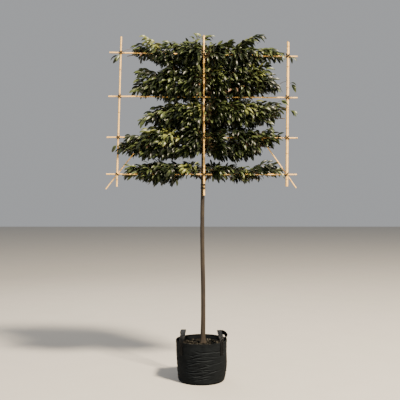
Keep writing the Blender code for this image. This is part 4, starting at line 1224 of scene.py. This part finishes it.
def leaf_rows(rng):
    """All leaves: root, heading, upper side's normal, length, half width, droop, fold and kind."""
    rows = []
    cane, _, _ = CANES["upright_middle"]
    for root, along, turn, look, at_tip, outline in leaf_stalks:
        out = turned_out(along, turn)
        side = 1 if root.x > STEM_X else -1
        heading = along + 0.35 * out if at_tip else 0.5 * along + 0.55 * out
        heading = (heading + Vector((0.46 * side, 0, -0.2)) + jitter(rng, 0.18)).normalized()
        facing = (1.1 if outline is None else 0.5) * (-1 if root.y < 0.01 else 1)
        normal = UP + Vector((0.15, facing, 0)) + 0.25 * out + jitter(rng, 0.35)
        normal = (normal - heading * normal.dot(heading)).normalized()
        length = rng.uniform(*LEAF_LENGTH) * (0.86 if at_tip else 1)
        half = 0.5 * length * rng.uniform(*LEAF_WIDTH_SHARE)
        droop, fold = rng.uniform(*LEAF_DROOP), rng.uniform(*LEAF_FOLD)
        tip = root + heading * 0.85 * length - UP * 0.2 * length
        slack = LEAF_SLACK[0] + LEAF_SLACK[1] * rng.random() ** 2
        if outline is not None and not inside(outline, side, tip, -slack):
            continue
        middle = 0.5 * (root + tip)
        crosses = abs(middle.x - cane.x) < 0.02 + 0.3 * abs(tip.x - root.x)
        if crosses and min(root.y, tip.y) < cane.y + 0.012 and rng.random() < 0.93:
            continue
        beside = middle.x - cane.x - SUN_SLOPE * (cane.y - middle.y)
        if middle.y < cane.y and abs(beside) < SUN_BAND and rng.random() < 0.94:
            continue
        kind = look
        if rng.random() < 0.17:
            kind = {MATURE: SUMMER_AND_SUNLIT, SUMMER_AND_SUNLIT: MATURE, YOUNG: SUMMER_AND_SUNLIT}[look]
        if look == MATURE and rng.random() < 0.008:
            kind = SPENT
        rows.append((root, heading, normal, length, half, droop, fold, kind))
    return rows


def leaf_points(rows):
    """Points of all leaves, as one array: leaf, station by station left, midrib and right, then tip."""
    place, heading, normal = (np.array([tuple(row[n]) for row in rows]) for n in range(3))
    length, half, droop, fold = (np.array([row[n] for row in rows])[:, None] for n in range(3, 7))
    side = np.cross(heading, normal)
    wave_start = np.arange(len(rows))[:, None] * 1.7
    columns = []
    last = 0
    for station, width in LEAF_SHAPE:
        bend = droop * (0.5 * (station + last)) ** 1.2
        place = place + (heading * np.cos(bend) - normal * np.sin(bend)) * length * (station - last)
        upper = heading * np.sin(droop * station ** 1.2) + normal * np.cos(droop * station ** 1.2)
        last = station
        ripple = 0.1 * half * np.sin(9 * station + wave_start) * (width > 0.1)
        for hand in (-1, 0, 1) if width else (0,):
            reach = abs(hand) * half * width
            columns.append(place + side * hand * half * width * np.cos(fold)
                           + upper * (reach * np.sin(fold) + ripple * hand))
    return np.stack(columns, axis=1)


rows = leaf_rows(random.Random(3))
points = leaf_points(rows)
clear = np.ones(len(rows), dtype=bool)
rods = [(start, start + run, radius) for start, run, radius in CANES.values()]
for low, high in ((CROWN_FOOT, 2), (2, 2.4), (2.4, STEM_TOP)):
    rods.append((stem_centre(low + 0.001), stem_centre(high), stem_radius(low)))
for start, end, radius in rods:
    start, run = np.array(start), np.array(end) - np.array(start)
    share = np.clip(((points - start) @ run) / (run @ run), 0, 1)
    off = np.linalg.norm(points - start - share[..., None] * run, axis=2)
    clear &= off.min(axis=1) > radius + LEAF_CLEAR_OF_CANE
clear &= ((points > np.array(cad_box[0])) & (points < np.array(cad_box[1]))).all(axis=(1, 2))
kinds = np.array([row[7] for row in rows])
on_left = np.array([row[0].x < STEM_X for row in rows])
# Two quads between neighbouring places along the leaf, and two triangles at its tip
tip = 3 * (len(LEAF_SHAPE) - 1)
one_leaf = [(low + n, low + n + 1, low + n + 4, low + n + 3) for low in range(0, tip - 3, 3) for n in (0, 1)]
one_leaf += [(tip - 3, tip - 2, tip), (tip - 2, tip - 1, tip)]
for n, (piece_name, look_name, tones, roughness) in enumerate(LEAF_KINDS):
    look, tree, shader, place = start_material(look_name, roughness, 1.45, 0.27, 0.2, 0.3)
    mottle = add_node(tree, "TexNoise", "Fac", {"Scale": 38, "Detail": 3, "Roughness": 0.6,
                                                "Vector": place})
    mottle = add_node(tree, "MapRange", "Result", {"From Min": 0.35, "From Max": 0.65, "Value": mottle})
    veins = add_node(tree, "TexVoronoi", "Distance", {"Scale": 1 / VEIN_SPACING, "Vector": place})
    colour_shader(shader, mottle, tones, reliefs=[(0.18, 0.0006, veins)])
    for side, word in SIDES:
        chosen = points[clear & (kinds == n) & (on_left == (side < 0))]
        faces = [tuple((tip + 1) * k + i for i in face) for k in range(len(chosen)) for face in one_leaf]
        leaves = new_object(f"{piece_name}_{word}", chosen.reshape(-1, 3), faces)
        replaced = [f"foliage_{tier}_{word}" for tier in TIERS] + ["foliage_leader"] * (side > 0)
        finish_piece(leaves, look, "foliage", *(replaced if n == MATURE else ()), smooth=70)
